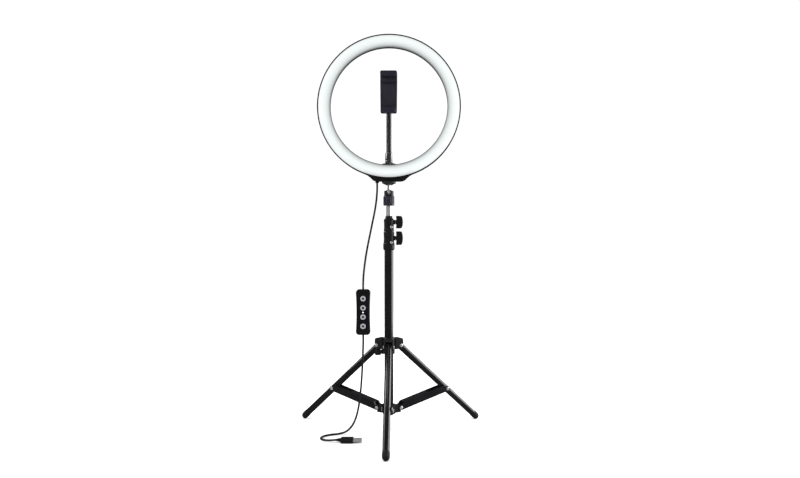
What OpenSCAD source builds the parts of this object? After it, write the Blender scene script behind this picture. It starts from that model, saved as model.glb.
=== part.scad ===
// Ring light on a folding three-legged stand.
// Millimetres. Z is up, the floor is z = 0, the light faces -Y.

/* [Stand] */
// Radius of the circle through the three foot centres
foot_r = 190; // [150:1:230]
// Radius of a rounded foot
foot_ball_r = 6.5; // [6.3:0.1:9]
// How far a foot is worn flat where it meets the floor
foot_flat = 0.2; // [0.1:0.1:1]
// Outer diameter of a leg tube
leg_d = 12; // [10:0.5:14]
// Height of the leg pivots above the floor
leg_pivot_z = 155; // [140:1:180]
// Distance of the leg and brace pivots from the mast axis
pivot_r = 21; // [20:0.5:32]
// Height of the brace pivots above the floor
brace_pivot_z = 41; // [36:1:45]
// Distance along a leg from its pivot to the brace rivet
rivet_along = 134; // [110:1:150]

/* [Mast] */
// Outer diameter of the column
column_d = 16; // [14:0.5:20]
// Outer diameter of the middle tube
middle_d = 13; // [11:0.5:15]
// Outer diameter of the top tube
top_d = 10; // [8:0.5:11]
// Bottom end of the column
column_bottom = 31; // [20:1:32]
// Underside of the lower clamp
clamp_z = 328; // [300:1:360]
// Height of the lower clamp
lower_clamp_h = 33; // [28:1:40]
// Height of the upper clamp
upper_clamp_h = 28.7; // [24:0.1:34]
// Top end of the top tube
top_tube_top = 408; // [400:1:420]

/* [Ring] */
// Height of the ring's centre
ring_z = 588; // [560:1:620]
// Outer radius of the ring
ring_r = 130; // [120:1:140]
// Radius of the ring's hole
hole_r = 105.5; // [95:0.5:110]
// Depth of the back shell behind the mast axis
shell_back = 10; // [8:0.5:16]
// Depth of the back shell in front of the mast axis
shell_front = 3; // [2:0.5:6]
// How far the base's front cover stands in front of the mast axis
base_front = 7; // [6:0.5:9]
// How far the diffuser bulges forward of its rim
crown = 8; // [4:0.5:10]

/* [Ball head] */
// Height of the ball's centre
ball_z = 431.5; // [430:0.5:432]
// Radius of the ball
ball_r = 6.7; // [6:0.1:7.5]

/* [Phone holder] */
// Height of the holder's centre
clip_z = 610.5; // [590:0.5:620]
// Width of the holder
clip_w = 30.5; // [26:0.5:36]
// Height of the holder when closed
clip_h = 74.5; // [65:0.5:85]
// Outer diameter of the flexible neck
neck_d = 9.7; // [8:0.1:11]

/* [Controller and cord] */
// Width of the controller
ctrl_w = 25.9; // [22:0.1:30]
// Length of the controller
ctrl_h = 81.8; // [70:0.1:90]
// Thickness of the controller
ctrl_t = 12; // [10:0.5:15]
// Diameter of the cord
cord_d = 3.5; // [3:0.1:4]

/* [Hidden] */
$fn = 64;
round_fn = 48;

// Clearances
fit = 0.05;
gap = 0.3;

// The mast stands so that the three feet are centred on the origin
mast_y = foot_r / 4;

// Leg geometry: angle from vertical, length and the rivet's place
foot_z = foot_ball_r - foot_flat;
leg_angle = atan2(foot_r - pivot_r, leg_pivot_z - foot_z);
leg_len = norm([foot_r - pivot_r, leg_pivot_z - foot_z]);
rivet_r = pivot_r + rivet_along * sin(leg_angle);
rivet_z = leg_pivot_z - rivet_along * cos(leg_angle);
brace_len = norm([rivet_r - pivot_r, rivet_z - brace_pivot_z]);
brace_angle = atan2(rivet_z - brace_pivot_z, rivet_r - pivot_r);
AZ_FRONT = 270;
AZ_LEFT = 150;
AZ_RIGHT = 30;
AZIMUTHS = [AZ_FRONT, AZ_LEFT, AZ_RIGHT];
AZ_KNOB = 210;

tube_wall = 1;
pin_d = 4;
rivet_head_d = 7;

// Leg hub
hub_bottom = 141;
arm_bottom = 147;
hub_top = 170;
hub_sleeve_r = 10.6;
arm_r = 25.5;
arm_w = 18;
slot_w = leg_d + 2 * gap;
slot_back_r = pivot_r - 7.8;
slot_top = leg_pivot_z + 9.2;
hub_knob_z = leg_pivot_z - 10;
cap_over = 9;

// Braces: a channel whose web lies on the upper side
channel_inner = 14.2;
channel_wall = 1.2;
channel_outer = channel_inner + 2 * channel_wall;
web_under = 7.2;
cheek_down = 4.5;
web_from = 8;
web_to = brace_len - 42;
ear_w = channel_inner - 2 * gap;
brace_hub_bottom = 32;
brace_hub_top = 48;
brace_hub_r = 11.5;

// Clamps and knobs
clamp_r = 9.6;
boss_d = 8.4;
boss_to = 11.8;
neck_r = 6;
upper_clamp_z = clamp_z + lower_clamp_h + gap;
lower_knob_z = 349.7;
upper_knob_z = 378.6;
knob_from = 12.3;
knob_to = 25.4;
lower_wing = 24.6;
upper_wing = 22.6;
knob_screw_d = 5;

// Ball head
cup_r = 8.5;
cup_base_r = 7.6;
cup_bottom = 408.4;
lock_r = 10.1;
lock_top = 426;
stem_d = 5.3;
screw_d = 6.35;
platform_z = 445.2;
platform_r = 12.5;
platform_rim = 3.4;
base_z = 452;
notch_w = 6.4;

// Ring
shell_wall = 1.8;
inner_wall_r = hole_r + 0.6;
chord_r = (hole_r + ring_r - shell_wall) / 2;
chord_half = (ring_r - shell_wall - gap - hole_r) / 2;
crown_r = (chord_half * chord_half + crown * crown) / (2 * crown);
crown_from = 2;
board_r1 = 109;
board_r2 = 125.5;
board_h = -6.5;
board_t = 1.5;
led_count = 60;
lobe_bottom = ring_z - base_z;
insert_d = 9;
insert_h = 5.8;
boss_r = 38.3;
boss_rise = 3.3;
boss_z = ring_z - hole_r + boss_rise;

// Flexible neck
ferrule_d = 13.6;
ferrule_h = 18;
ferrule_spigot = 2.6;
neck_n = 3;
neck_shy = 2.5;
neck_from = boss_z + ferrule_h + neck_shy;
neck_to = 602;
neck_step = (neck_to - neck_from) / neck_n;

// Phone holder
clip_back_y = -8;
clip_plate_t = 6;
clip_corner = 2;
clip_front_y = clip_back_y - clip_plate_t;
lip_reach = 12;
lip_h = 7.6;
clip_bottom = clip_z - clip_h / 2;
clip_top = clip_z + clip_h / 2;
jaw_h = 20;
slot_x = 19;
slot_t = 3.4;

// Controller: it hangs on the cord with its buttons towards -Y
ctrl_x = -46;
ctrl_y = -11;
ctrl_bottom = 176;
ctrl_top = ctrl_bottom + ctrl_h;
ctrl_waist = 1.1;
button_d = 9.6;
button_proud = 1;
button_step = 16.5;
button_first_z = 241.4;

// Cord routes, straight out of the grommet, down, and along the floor
exit_x = -21.2;
exit_z = 449.6;
UPPER_ROUTE = [
    [exit_x, 0, exit_z], [exit_x, 0, 440], [-21.6, -0.1, 430], [-23, -0.6, 415],
    [-25.6, -1.8, 398], [-29.2, -3.3, 380], [-33.2, -5, 360], [-37.2, -6.8, 340],
    [-40.8, -8.5, 320], [-43.6, -9.8, 300], [-45.4, -10.6, 282], [-46, -11, 268],
    [ctrl_x, ctrl_y, ctrl_top]
];
LOWER_ROUTE = [
    [ctrl_x, ctrl_y, ctrl_bottom], [-46, -11, 160], [-47, -12, 130], [-48.5, -13, 100],
    [-51, -15, 70], [-55, -17, 42], [-62, -20, 20], [-73, -24, 6.5], [-87, -29, 2.1],
    [-102, -36, 2], [-113, -46, 2], [-117, -59, 2], [-112, -71, 2.2], [-101, -78.5, 3.2],
    [-88, -80, 4.3]
];
cord_sides = 8;
usb_tail = LOWER_ROUTE[len(LOWER_ROUTE) - 1];
usb_w = 19;
usb_t = 8;
usb_l = 21.2;
usb_relief = 7.6;
shell_w = 12;
shell_t = 4.5;
shell_l = 14.5;

// ---- Placing helpers ----
module at_mast() translate([0, mast_y, 0]) children();

// Turns a part drawn in the X-Z plane so that +X points outwards along an azimuth
module outward(azimuth) at_mast() rotate([0, 0, azimuth]) children();

// A cylinder along +X
module x_cyl(d, l) rotate([0, 90, 0]) cylinder(d = d, h = l, $fn = round_fn);

// A cylinder along Y, centred
module y_cyl(d, l) rotate([90, 0, 0]) cylinder(d = d, h = l, center = true, $fn = round_fn);

module tube(d, wall, z0, z1) at_mast() translate([0, 0, z0]) difference() {
    cylinder(d = d, h = z1 - z0);
    translate([0, 0, -1]) cylinder(d = d - 2 * wall, h = z1 - z0 + 2);
}

// A plate in the X-Z plane with rounded corners, from y0 towards +Y
module rounded_plate(w, h, t, r) rotate([90, 0, 0]) translate([0, 0, -t])
    linear_extrude(t) {
        square([w - 2 * r, h], center = true);
        square([w, h - 2 * r], center = true);
        for (x = [-1, 1], z = [-1, 1])
            translate([x * (w / 2 - r), z * (h / 2 - r)]) circle(r = r, $fn = 32);
    }

// ---- Stand ----
module column_tube() color("#1a1a1c")
    tube(column_d, tube_wall, column_bottom + 2, clamp_z + 17);

module column_end_cap() color("#222222") at_mast() translate([0, 0, column_bottom - 1]) {
    cylinder(d = column_d, h = 3 - fit);
    cylinder(d = column_d - 2 * tube_wall - 2 * fit, h = 12);
}

module brace_hub() color("#202022") difference() {
    union() {
        at_mast() translate([0, 0, brace_hub_bottom])
            cylinder(r = brace_hub_r, h = brace_hub_top - brace_hub_bottom);
        for (a = AZIMUTHS) outward(a) {
            translate([5, -ear_w / 2, brace_hub_bottom + 1])
                cube([pivot_r - 5, ear_w, 14]);
            translate([pivot_r, 0, brace_pivot_z]) y_cyl(8.5, ear_w);
        }
    }
    at_mast() cylinder(d = column_d + 2 * fit, h = 100);
    for (a = AZIMUTHS) outward(a) {
        translate([pivot_r, 0, brace_pivot_z]) y_cyl(pin_d + 2 * fit, ear_w + 2);
        // room for the channel's web as the brace folds up
        translate([15.5, -ear_w, brace_pivot_z + 4.4]) cube([20, 2 * ear_w, 20]);
        translate([pivot_r, -ear_w, brace_hub_bottom - 1]) cube([20, 2 * ear_w, 6]);
    }
}

module brace_hub_pins() color("#c9c9cc") for (a = AZIMUTHS)
    outward(a) translate([pivot_r, 0, brace_pivot_z]) {
        y_cyl(pin_d, channel_outer + 2 * gap);
        for (s = [-1, 1]) translate([0, s * (channel_outer / 2 + gap + 0.6), 0])
            y_cyl(rivet_head_d, 1.2);
    }

module leg_hub() color("#2a2a2c") difference() {
    union() {
        at_mast() translate([0, 0, hub_bottom])
            cylinder(r = hub_sleeve_r, h = hub_top - hub_bottom);
        for (a = AZIMUTHS) outward(a) {
            translate([0, -arm_w / 2, arm_bottom])
                cube([arm_r, arm_w, hub_top - 6 - arm_bottom]);
            translate([0, -arm_w / 2, hub_top - 7]) cube([arm_r - 3, arm_w, 5.5]);
            translate([arm_r - 4, 0, hub_top - 6]) rotate([90, 0, 0])
                cylinder(r = 4, h = arm_w, center = true, $fn = 32);
        }
        outward(AZ_KNOB) translate([0, 0, hub_knob_z]) x_cyl(9, 14.5);
    }
    at_mast() cylinder(d = column_d + 2 * fit, h = 300);
    for (a = AZIMUTHS) outward(a) {
        translate([slot_back_r, -slot_w / 2, hub_bottom - 1])
            cube([30, slot_w, slot_top - hub_bottom + 1]);
        translate([pivot_r, 0, leg_pivot_z]) y_cyl(pin_d + 2 * fit, arm_w + 2);
    }
    outward(AZ_KNOB) translate([0, 0, hub_knob_z]) x_cyl(knob_screw_d + 2 * fit, 40);
}

module leg_hub_pins() color("#c9c9cc") for (a = AZIMUTHS)
    outward(a) translate([pivot_r, 0, leg_pivot_z]) {
        y_cyl(pin_d, arm_w + 0.4);
        for (s = [-1, 1]) translate([0, s * (arm_w / 2 + 0.7), 0]) y_cyl(rivet_head_d, 1.3);
    }

module leg_hub_knob() color("#1c1c1e") outward(AZ_KNOB) translate([0, 0, hub_knob_z]) {
    translate([18, 0, 0]) difference() {
        x_cyl(11.6, 9.2);
        for (i = [0:11]) rotate([i * 30, 0, 0]) translate([-1, 0, 6.2]) x_cyl(1.6, 12);
    }
    translate([column_d / 2 + 0.4, 0, 0]) x_cyl(knob_screw_d, 12);
}

// Places its children with +Z up the leg's own axis, the origin at the pivot
module along_leg(azimuth) outward(azimuth) translate([pivot_r, 0, leg_pivot_z])
    rotate([0, -leg_angle, 0]) children();

module leg(azimuth) color("#1a1a1c") along_leg(azimuth) difference() {
    translate([0, 0, 2 - leg_len]) cylinder(d = leg_d, h = leg_len + 2);
    translate([0, 0, 1 - leg_len]) cylinder(d = leg_d - 2 * tube_wall, h = leg_len + 6);
    y_cyl(pin_d + 2 * fit, leg_d + 2);
}

module foot(azimuth) color("#141414") difference() {
    along_leg(azimuth) difference() {
        translate([0, 0, -leg_len]) {
            sphere(r = foot_ball_r);
            cylinder(r = foot_ball_r, h = cap_over);
        }
        translate([0, 0, 2 - leg_len - fit]) cylinder(d = leg_d + 2 * fit, h = 30);
    }
    outward(azimuth) translate([foot_r - 15, -15, -20]) cube([30, 30, 20]);
}

// Places its children with +X along a brace towards its rivet
module along_brace(azimuth) outward(azimuth) translate([pivot_r, 0, brace_pivot_z])
    rotate([0, -brace_angle, 0]) children();

// The cheek's upper part, seen from the side
module cheek_top() polygon([
    [web_from - 4, 0], [web_from - 4, cheek_down], [web_from, web_under + channel_wall],
    [brace_len - 8, web_under + channel_wall], [brace_len - 3, cheek_down], [brace_len - 3, 0]
]);

module brace(azimuth) color("#1f1f21") along_brace(azimuth) difference() {
    union() {
        for (s = [-1, 1]) translate([0, s * (channel_inner + channel_wall) / 2, 0]) {
            translate([0, -channel_wall / 2, -cheek_down])
                cube([brace_len, channel_wall, 2 * cheek_down]);
            for (x = [0, brace_len]) translate([x, 0, 0]) y_cyl(2 * cheek_down, channel_wall);
            rotate([90, 0, 0]) linear_extrude(channel_wall, center = true) cheek_top();
        }
        translate([web_from, -channel_outer / 2, web_under])
            cube([web_to - web_from, channel_outer, channel_wall]);
    }
    for (x = [0, brace_len]) translate([x, 0, 0]) y_cyl(pin_d + 2 * fit, channel_outer + 2);
}

// Each rivet is a headed stub in one cheek, so that the leg passes between them
module rivets(azimuth) color("#c9c9cc") along_brace(azimuth)
    translate([brace_len, 0, 0]) for (s = [-1, 1]) {
        translate([0, s * (channel_inner + channel_wall) / 2, 0]) y_cyl(pin_d, channel_wall);
        translate([0, s * (channel_outer / 2 + 0.6), 0]) y_cyl(rivet_head_d, 1.2);
    }

module leg_front() leg(AZ_FRONT);
module leg_left() leg(AZ_LEFT);
module leg_right() leg(AZ_RIGHT);
module foot_front() foot(AZ_FRONT);
module foot_left() foot(AZ_LEFT);
module foot_right() foot(AZ_RIGHT);
module brace_front() brace(AZ_FRONT);
module brace_left() brace(AZ_LEFT);
module brace_right() brace(AZ_RIGHT);
module rivets_front() rivets(AZ_FRONT);
module rivets_left() rivets(AZ_LEFT);
module rivets_right() rivets(AZ_RIGHT);

// ---- Mast ----
module lower_clamp() color("#202022") at_mast() difference() {
    union() {
        translate([0, 0, clamp_z + 3]) cylinder(r = clamp_r, h = lower_clamp_h - 3);
        translate([0, 0, clamp_z]) cylinder(r1 = clamp_r - 1, r2 = clamp_r + 0.8, h = 3);
        translate([0, 0, clamp_z + 3]) cylinder(r = clamp_r + 0.8, h = 9);
        translate([0, 0, lower_knob_z]) x_cyl(boss_d, boss_to);
        translate([5, -clamp_r + 1, clamp_z + 13.6]) y_cyl(7.4, 4.4);
    }
    translate([0, 0, clamp_z - 1]) cylinder(d = column_d + 2 * fit, h = 18.2);
    translate([0, 0, clamp_z]) cylinder(d = middle_d + 2 * fit, h = 50);
    translate([0, 0, lower_knob_z]) x_cyl(knob_screw_d + 2 * fit, 30);
    translate([5, -clamp_r + 1, clamp_z + 13.6]) y_cyl(3.1, 10);
}

module clamp_bolt(z) at_mast() translate([5, 0, z]) {
    translate([0, -clamp_r - 2.1, 0]) y_cyl(5, 1.8);
    translate([0, -clamp_r + 0.5, 0]) y_cyl(3, 3.6);
}

module lower_clamp_bolt() color("#d0d0d2") clamp_bolt(clamp_z + 13.6);
module upper_clamp_bolt() color("#d0d0d2") clamp_bolt(upper_clamp_z + 8.3);

module middle_tube() color("#1a1a1c")
    tube(middle_d, tube_wall, 70, upper_clamp_z + 14.5);

module upper_clamp() color("#202022") at_mast() difference() {
    union() {
        translate([0, 0, upper_clamp_z]) cylinder(r = clamp_r - 0.4, h = upper_clamp_h - 6.5);
        translate([0, 0, upper_clamp_z + upper_clamp_h - 6.5])
            cylinder(r1 = clamp_r - 0.4, r2 = neck_r, h = 3);
        translate([0, 0, upper_clamp_z]) cylinder(r = neck_r, h = upper_clamp_h);
        translate([0, 0, upper_knob_z]) x_cyl(boss_d, boss_to);
        translate([5, -clamp_r + 1, upper_clamp_z + 8.3]) y_cyl(7.4, 4.4);
    }
    translate([0, 0, upper_clamp_z - 1]) cylinder(d = middle_d + 2 * fit, h = 15.7);
    translate([0, 0, upper_clamp_z]) cylinder(d = top_d + 2 * fit, h = 50);
    translate([0, 0, upper_knob_z]) x_cyl(knob_screw_d + 2 * fit, 30);
    translate([5, -clamp_r + 1, upper_clamp_z + 8.3]) y_cyl(3.1, 10);
}

// A T-shaped wing with its screw, which presses on a tube of the given diameter
module wing_knob(z, wing, tube_d) color("#1c1c1e") at_mast() translate([0, 0, z]) {
    translate([tube_d / 2 + gap, 0, 0]) x_cyl(knob_screw_d, knob_to - tube_d / 2 - 4);
    translate([knob_from - 0.2, 0, 0]) x_cyl(9, 4);
    translate([knob_from + 0.6, 0, 0]) intersection() {
        translate([0, -4.2, -wing / 2]) cube([knob_to - knob_from - 0.6, 8.4, wing]);
        translate([-wing * 1.1, 0, 0]) y_cyl(2 * (wing * 1.1 + knob_to - knob_from - 0.6), 30);
        x_cyl(wing, 30);
    }
}

module lower_clamp_knob() wing_knob(lower_knob_z, lower_wing, middle_d);
module upper_clamp_knob() wing_knob(upper_knob_z, upper_wing, top_d);

module top_tube() color("#d8d8da") tube(top_d, 0.8, 84, top_tube_top - 2);

module head_stud() color("#8a8a8e") at_mast() {
    translate([0, 0, top_tube_top - 14]) cylinder(d = top_d - 1.6 - 2 * fit, h = 12.5);
    translate([0, 0, top_tube_top - 2 + fit]) cylinder(d = top_d, h = 2 - fit);
    cylinder_between(screw_d, top_tube_top - 1, top_tube_top + 8);
}

module cylinder_between(d, z0, z1) translate([0, 0, z0]) cylinder(d = d, h = z1 - z0);

// ---- Ball head ----
module ball_cup() color("#1e1e20") at_mast() difference() {
    union() {
        cylinder_between(2 * cup_r, lock_top + gap, ball_z + 3.6);
        cylinder_between(2 * cup_base_r, cup_bottom, lock_top + 1);
    }
    translate([0, 0, ball_z]) sphere(r = ball_r + fit);
    cylinder_between(screw_d + 2 * fit, cup_bottom - 1, top_tube_top + 9);
    // the notch that the stem drops into
    translate([0, 0, ball_z]) rotate([90, 0, 0]) cylinder(d = notch_w, h = 20);
    translate([-notch_w / 2, -20, ball_z]) cube([notch_w, 20, 20]);
}

module lock_ring() color("#1b1b1d") at_mast() difference() {
    cylinder_between(2 * lock_r, cup_bottom + 0.2, lock_top);
    cylinder_between(2 * (cup_base_r + gap), cup_bottom - 1, lock_top + 1);
    for (i = [0:19]) rotate([0, 0, i * 18]) translate([lock_r + 0.35, 0, 0])
        cylinder_between(1.8, cup_bottom + 2.5, lock_top - 2);
}

// Ball, stem and the screw that goes up into the light
module head_ball() color("#c4c4c8") at_mast() {
    translate([0, 0, ball_z]) sphere(r = ball_r);
    cylinder_between(stem_d, ball_z, platform_z + 1);
    cylinder_between(screw_d, platform_z + 0.5, base_z + insert_h - 1.2);
}

module head_platform() color("#303033") at_mast() difference() {
    union() {
        translate([0, 0, platform_z])
            cylinder(r1 = 4.6, r2 = platform_r - 0.4, h = base_z - platform_rim - platform_z);
        cylinder_between(2 * platform_r, base_z - platform_rim, base_z);
    }
    cylinder_between(screw_d + 2 * fit, platform_z - 1, base_z + 1);
}

// ---- Light ----
// The light's own axes: origin at the ring's centre, +Z towards the front
module ring_axes() at_mast() translate([0, 0, ring_z]) rotate([90, 0, 0]) children();

module ring_band(r1, r2, h0, h1) translate([0, 0, h0]) difference() {
    cylinder(r = r2, h = h1 - h0, $fn = 180);
    translate([0, 0, -1]) cylinder(r = r1, h = h1 - h0 + 2, $fn = 180);
}

module lobe_outline() polygon([
    [-47, -sqrt(pow(ring_r, 2) - 47 * 47)], [-30, 4 - lobe_bottom - 0.6],
    [-22, -lobe_bottom], [22, -lobe_bottom], [30, 4 - lobe_bottom - 0.6],
    [47, -sqrt(pow(ring_r, 2) - 47 * 47)], [30, -board_r2 - 2], [-30, -board_r2 - 2]
]);

module ring_shell() color("#161618") difference() {
    ring_axes() {
        ring_band(ring_r - shell_wall, ring_r, 1 - shell_back, shell_front);
        ring_band(inner_wall_r, inner_wall_r + 1.4, -shell_back, crown_from - 0.8);
        ring_band(inner_wall_r, ring_r - 1, -shell_back, shell_wall - shell_back);
        translate([0, 0, 1 - shell_back]) linear_extrude(shell_back - 2) lobe_outline();
        neck_boss();
    }
    lobe_holes();
}

// The low round-topped boss in the hole, which holds the neck's foot
module neck_boss() translate([0, 0, 1 - shell_back]) linear_extrude(shell_back + 1)
    intersection() {
        translate([0, boss_rise - hole_r - boss_r]) circle(r = boss_r, $fn = 128);
        translate([-20, -hole_r - 2]) square([40, 20]);
    }

module lobe_holes() {
    at_mast() cylinder_between(insert_d + 2 * fit, base_z - 1, base_z + insert_h + 0.1);
    translate([exit_x, mast_y, 0]) cylinder_between(5.1, base_z - 1, base_z + 16);
    at_mast() cylinder_between(8.1, boss_z - ferrule_spigot - gap, boss_z + 1);
    for (x = [-1, 1]) translate([x * 15, mast_y, base_z + 5])
        translate([0, shell_back - 4, 0]) y_cyl(3.1, 40);
}

module base_cover() color("#18181a") difference() {
    ring_axes() difference() {
        translate([0, 0, -1 + fit]) linear_extrude(1 + base_front - fit) lobe_outline();
        translate([0, 0, -2]) cylinder(r = ring_r + fit, h = 10, $fn = 180);
    }
    at_mast() cylinder_between(insert_d + 2 * fit, base_z - 1, base_z + insert_h + 0.1);
    translate([exit_x, mast_y, 0]) cylinder_between(5.1, base_z - 1, base_z + 16);
}

module threaded_insert() color("#b08a3c") at_mast() difference() {
    cylinder_between(insert_d, base_z + 0.1, base_z + insert_h);
    cylinder_between(screw_d + 2 * fit, base_z - 1, base_z + insert_h - 0.8);
}

module housing_screws() color("#3a3a3e") for (x = [-1, 1])
    translate([x * 15, mast_y + shell_back - 1, base_z + 5]) {
        translate([0, 0.9, 0]) y_cyl(5.5, 1.8);
        translate([0, -3.5, 0]) y_cyl(3, 7);
    }

module ring_diffuser() color("#f4fbfb") ring_axes() intersection() {
    rotate_extrude($fn = 180) translate([chord_r, crown_from + crown - crown_r])
        difference() {
            circle(r = crown_r, $fn = 96);
            circle(r = crown_r - 2, $fn = 96);
        }
    ring_band(hole_r - 1, ring_r - shell_wall - gap, crown_from, 30);
}

module led_board() color("#e9e9e4") ring_axes()
    ring_band(board_r1, board_r2, board_h, board_h + board_t);

module leds() color("#f6e27a") ring_axes() for (i = [0 : led_count - 1])
    rotate([0, 0, (i + 0.5) * 360 / led_count])
        translate([(board_r1 + board_r2) / 2 - 1.8, -1.4, board_h + board_t])
            cube([3.6, 2.8, 0.8]);

module cord_grommet() color("#101010") translate([exit_x, mast_y, 0]) {
    cylinder_between(5, base_z - 0.5, base_z + 6);
    cylinder_between(6.6, exit_z, base_z);
}

// ---- Flexible neck and phone holder ----
// Each piece of the neck turns on a ball end in a socket of the piece below it
module neck_socket(z) translate([0, 0, z]) sphere(d = neck_d + 2 * gap);

module neck_ferrule() color("#b9b9bd") at_mast() difference() {
    union() {
        cylinder_between(ferrule_d, boss_z, boss_z + ferrule_h);
        cylinder_between(8, boss_z - ferrule_spigot, boss_z + 1);
    }
    neck_socket(neck_from);
}

module neck_piece(i) color("#2b2b2e") at_mast() {
    z0 = neck_from + i * neck_step;
    last = i == neck_n - 1;
    translate([0, 0, z0]) sphere(d = neck_d);
    difference() {
        cylinder_between(neck_d, z0, z0 + neck_step - (last ? 0 : neck_shy));
        if (!last) neck_socket(z0 + neck_step);
    }
}

module neck_lower() neck_piece(0);
module neck_middle() neck_piece(1);
module neck_upper() neck_piece(2);

module neck_swivel() color("#222224") at_mast() {
    translate([-6.5, -5, neck_to]) cube([13, 10, 16]);
    translate([0, -6, clip_z]) y_cyl(8, 4);
    translate([0, clip_back_y - 0.4, clip_z]) y_cyl(4, 1.6);
}

module at_clip() at_mast() translate([0, 0, clip_z]) children();

module clip_back() color("#1a1b1e") difference() {
    union() {
        at_mast() translate([0, clip_front_y, clip_bottom + (clip_h - jaw_h - gap) / 2])
            rounded_plate(clip_w, clip_h - jaw_h - gap, clip_plate_t, clip_corner);
        at_mast() translate([0, clip_front_y - lip_reach, clip_bottom + lip_h / 2])
            rounded_plate(clip_w - 5, lip_h, lip_reach + 1, 3);
        at_mast() translate([0, clip_front_y - lip_reach, clip_bottom + lip_h / 2 + 1])
            rounded_plate(clip_w - 5, lip_h + 2, 2.4, 3);
    }
    at_mast() translate([-slot_x / 2, clip_front_y + (clip_plate_t - slot_t) / 2, clip_bottom + lip_h])
        cube([slot_x, slot_t, clip_h]);
    at_clip() translate([0, clip_back_y - 0.6, 0]) y_cyl(4 + 2 * fit, 2);
}

module clip_jaw() color("#15161c") at_mast() {
    jaw_z = clip_top - jaw_h / 2;
    translate([0, clip_front_y, jaw_z]) rounded_plate(clip_w, jaw_h, clip_plate_t, clip_corner);
    translate([0, clip_front_y - lip_reach, clip_top - lip_h / 2])
        rounded_plate(clip_w, lip_h, lip_reach + 1, 3);
    translate([0, clip_front_y - lip_reach, clip_top - lip_h / 2 - 1])
        rounded_plate(clip_w, lip_h + 2, 2.4, 3);
    translate([-9, clip_front_y + (clip_plate_t - slot_t) / 2 + 0.4, clip_bottom + 22])
        cube([18, slot_t - 0.8, clip_h - 24]);
}

module clip_spring() color("#8f8f94") at_mast()
    translate([0, clip_front_y + clip_plate_t / 2, clip_bottom + lip_h + 0.4]) difference() {
        cylinder(d = 2.8, h = 13.6);
        translate([0, 0, -1]) cylinder(d = 1.6, h = 20);
    }

// ---- Controller ----
module ctrl_outline(inset) {
    w = ctrl_w - 2 * inset;
    h = ctrl_h - 2 * inset;
    r = 6 - inset / 2;
    difference() {
        union() {
            square([w - 2 * r, h], center = true);
            square([w, h - 2 * r], center = true);
            for (x = [-1, 1], z = [-1, 1])
                translate([x * (w / 2 - r), z * (h / 2 - r)]) circle(r = r, $fn = 32);
        }
        // the sides are drawn in to a slight waist
        waist_r = (pow(ctrl_h / 2 - 8, 2) + pow(ctrl_waist, 2)) / (2 * ctrl_waist);
        for (x = [-1, 1]) translate([x * (w / 2 - ctrl_waist + waist_r), 0])
            circle(r = waist_r, $fn = 360);
    }
}

module ctrl_axes() translate([ctrl_x, mast_y + ctrl_y, ctrl_bottom + ctrl_h / 2])
    rotate([90, 0, 0]) children();

module ctrl_holes(d) for (i = [0:3])
    translate([0, button_first_z - i * button_step - ctrl_bottom - ctrl_h / 2, 0])
        cylinder(d = d, h = 20);

module controller_front() color("#131315") ctrl_axes() difference() {
    translate([0, 0, 0]) linear_extrude(ctrl_t / 2) ctrl_outline(0);
    translate([0, 0, -1]) linear_extrude(ctrl_t / 2 - 0.8) ctrl_outline(1.8);
    ctrl_holes(button_d + 0.5);
    translate([0, light_z(), 0]) cylinder(d = 2.4 + 2 * fit, h = 20);
}

module controller_back() color("#101012") ctrl_axes() difference() {
    translate([0, 0, -ctrl_t / 2]) linear_extrude(ctrl_t / 2 - fit) ctrl_outline(0);
    translate([0, 0, 1.8 - ctrl_t / 2]) linear_extrude(ctrl_t) ctrl_outline(1.8);
}

function light_z() = button_first_z - 1.5 * button_step - ctrl_bottom - ctrl_h / 2;

module controller_board() color("#1d5b34") ctrl_axes() translate([0, 0, -0.6])
    linear_extrude(1.2) ctrl_outline(2.6);

module status_light() color("#e8e8ff") ctrl_axes() translate([0, light_z(), 0.7])
    cylinder(d = 2.4, h = ctrl_t / 2 - 0.5);

// A button: a cap, and a flange behind the shell's front wall
module button(i) color("#c8c8cc") ctrl_axes()
    translate([0, button_first_z - i * button_step - ctrl_bottom - ctrl_h / 2, 0]) {
        translate([0, 0, 2.6]) cylinder(d = button_d, h = ctrl_t / 2 + button_proud - 2.6);
        translate([0, 0, 2.6]) cylinder(d = button_d + 2, h = 1.2);
    }

module button_power() button(0);
module button_colour() button(1);
module button_brighter() button(2);
module button_dimmer() button(3);

// ---- Cord ----
function unit(v) = v / norm(v);
function tangent(p, i) = unit(p[min(i + 1, len(p) - 1)] - p[max(i - 1, 0)]);
// a fixed side direction keeps the rings from twisting against each other
function ring_at(c, t) =
    let (u = unit(cross(t, [0.2, 1, 0.15])), w = cross(t, u))
    [for (k = [0 : cord_sides - 1]) c + cord_d / 2
        * (u * cos(k * 360 / cord_sides) + w * sin(k * 360 / cord_sides))];
// Catmull-Rom point between p[i] and p[i + 1]
function between(p, i, s) =
    let (a = p[max(i - 1, 0)], b = p[i], c = p[i + 1], d = p[min(i + 2, len(p) - 1)])
    0.5 * (2 * b + (c - a) * s + (2 * a - 5 * b + 4 * c - d) * s * s
        + (3 * b - a - 3 * c + d) * s * s * s);
function smooth(p, n) = concat(
    [for (i = [0 : len(p) - 2], k = [0 : n - 1]) between(p, i, k / n)], [p[len(p) - 1]]);

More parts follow.
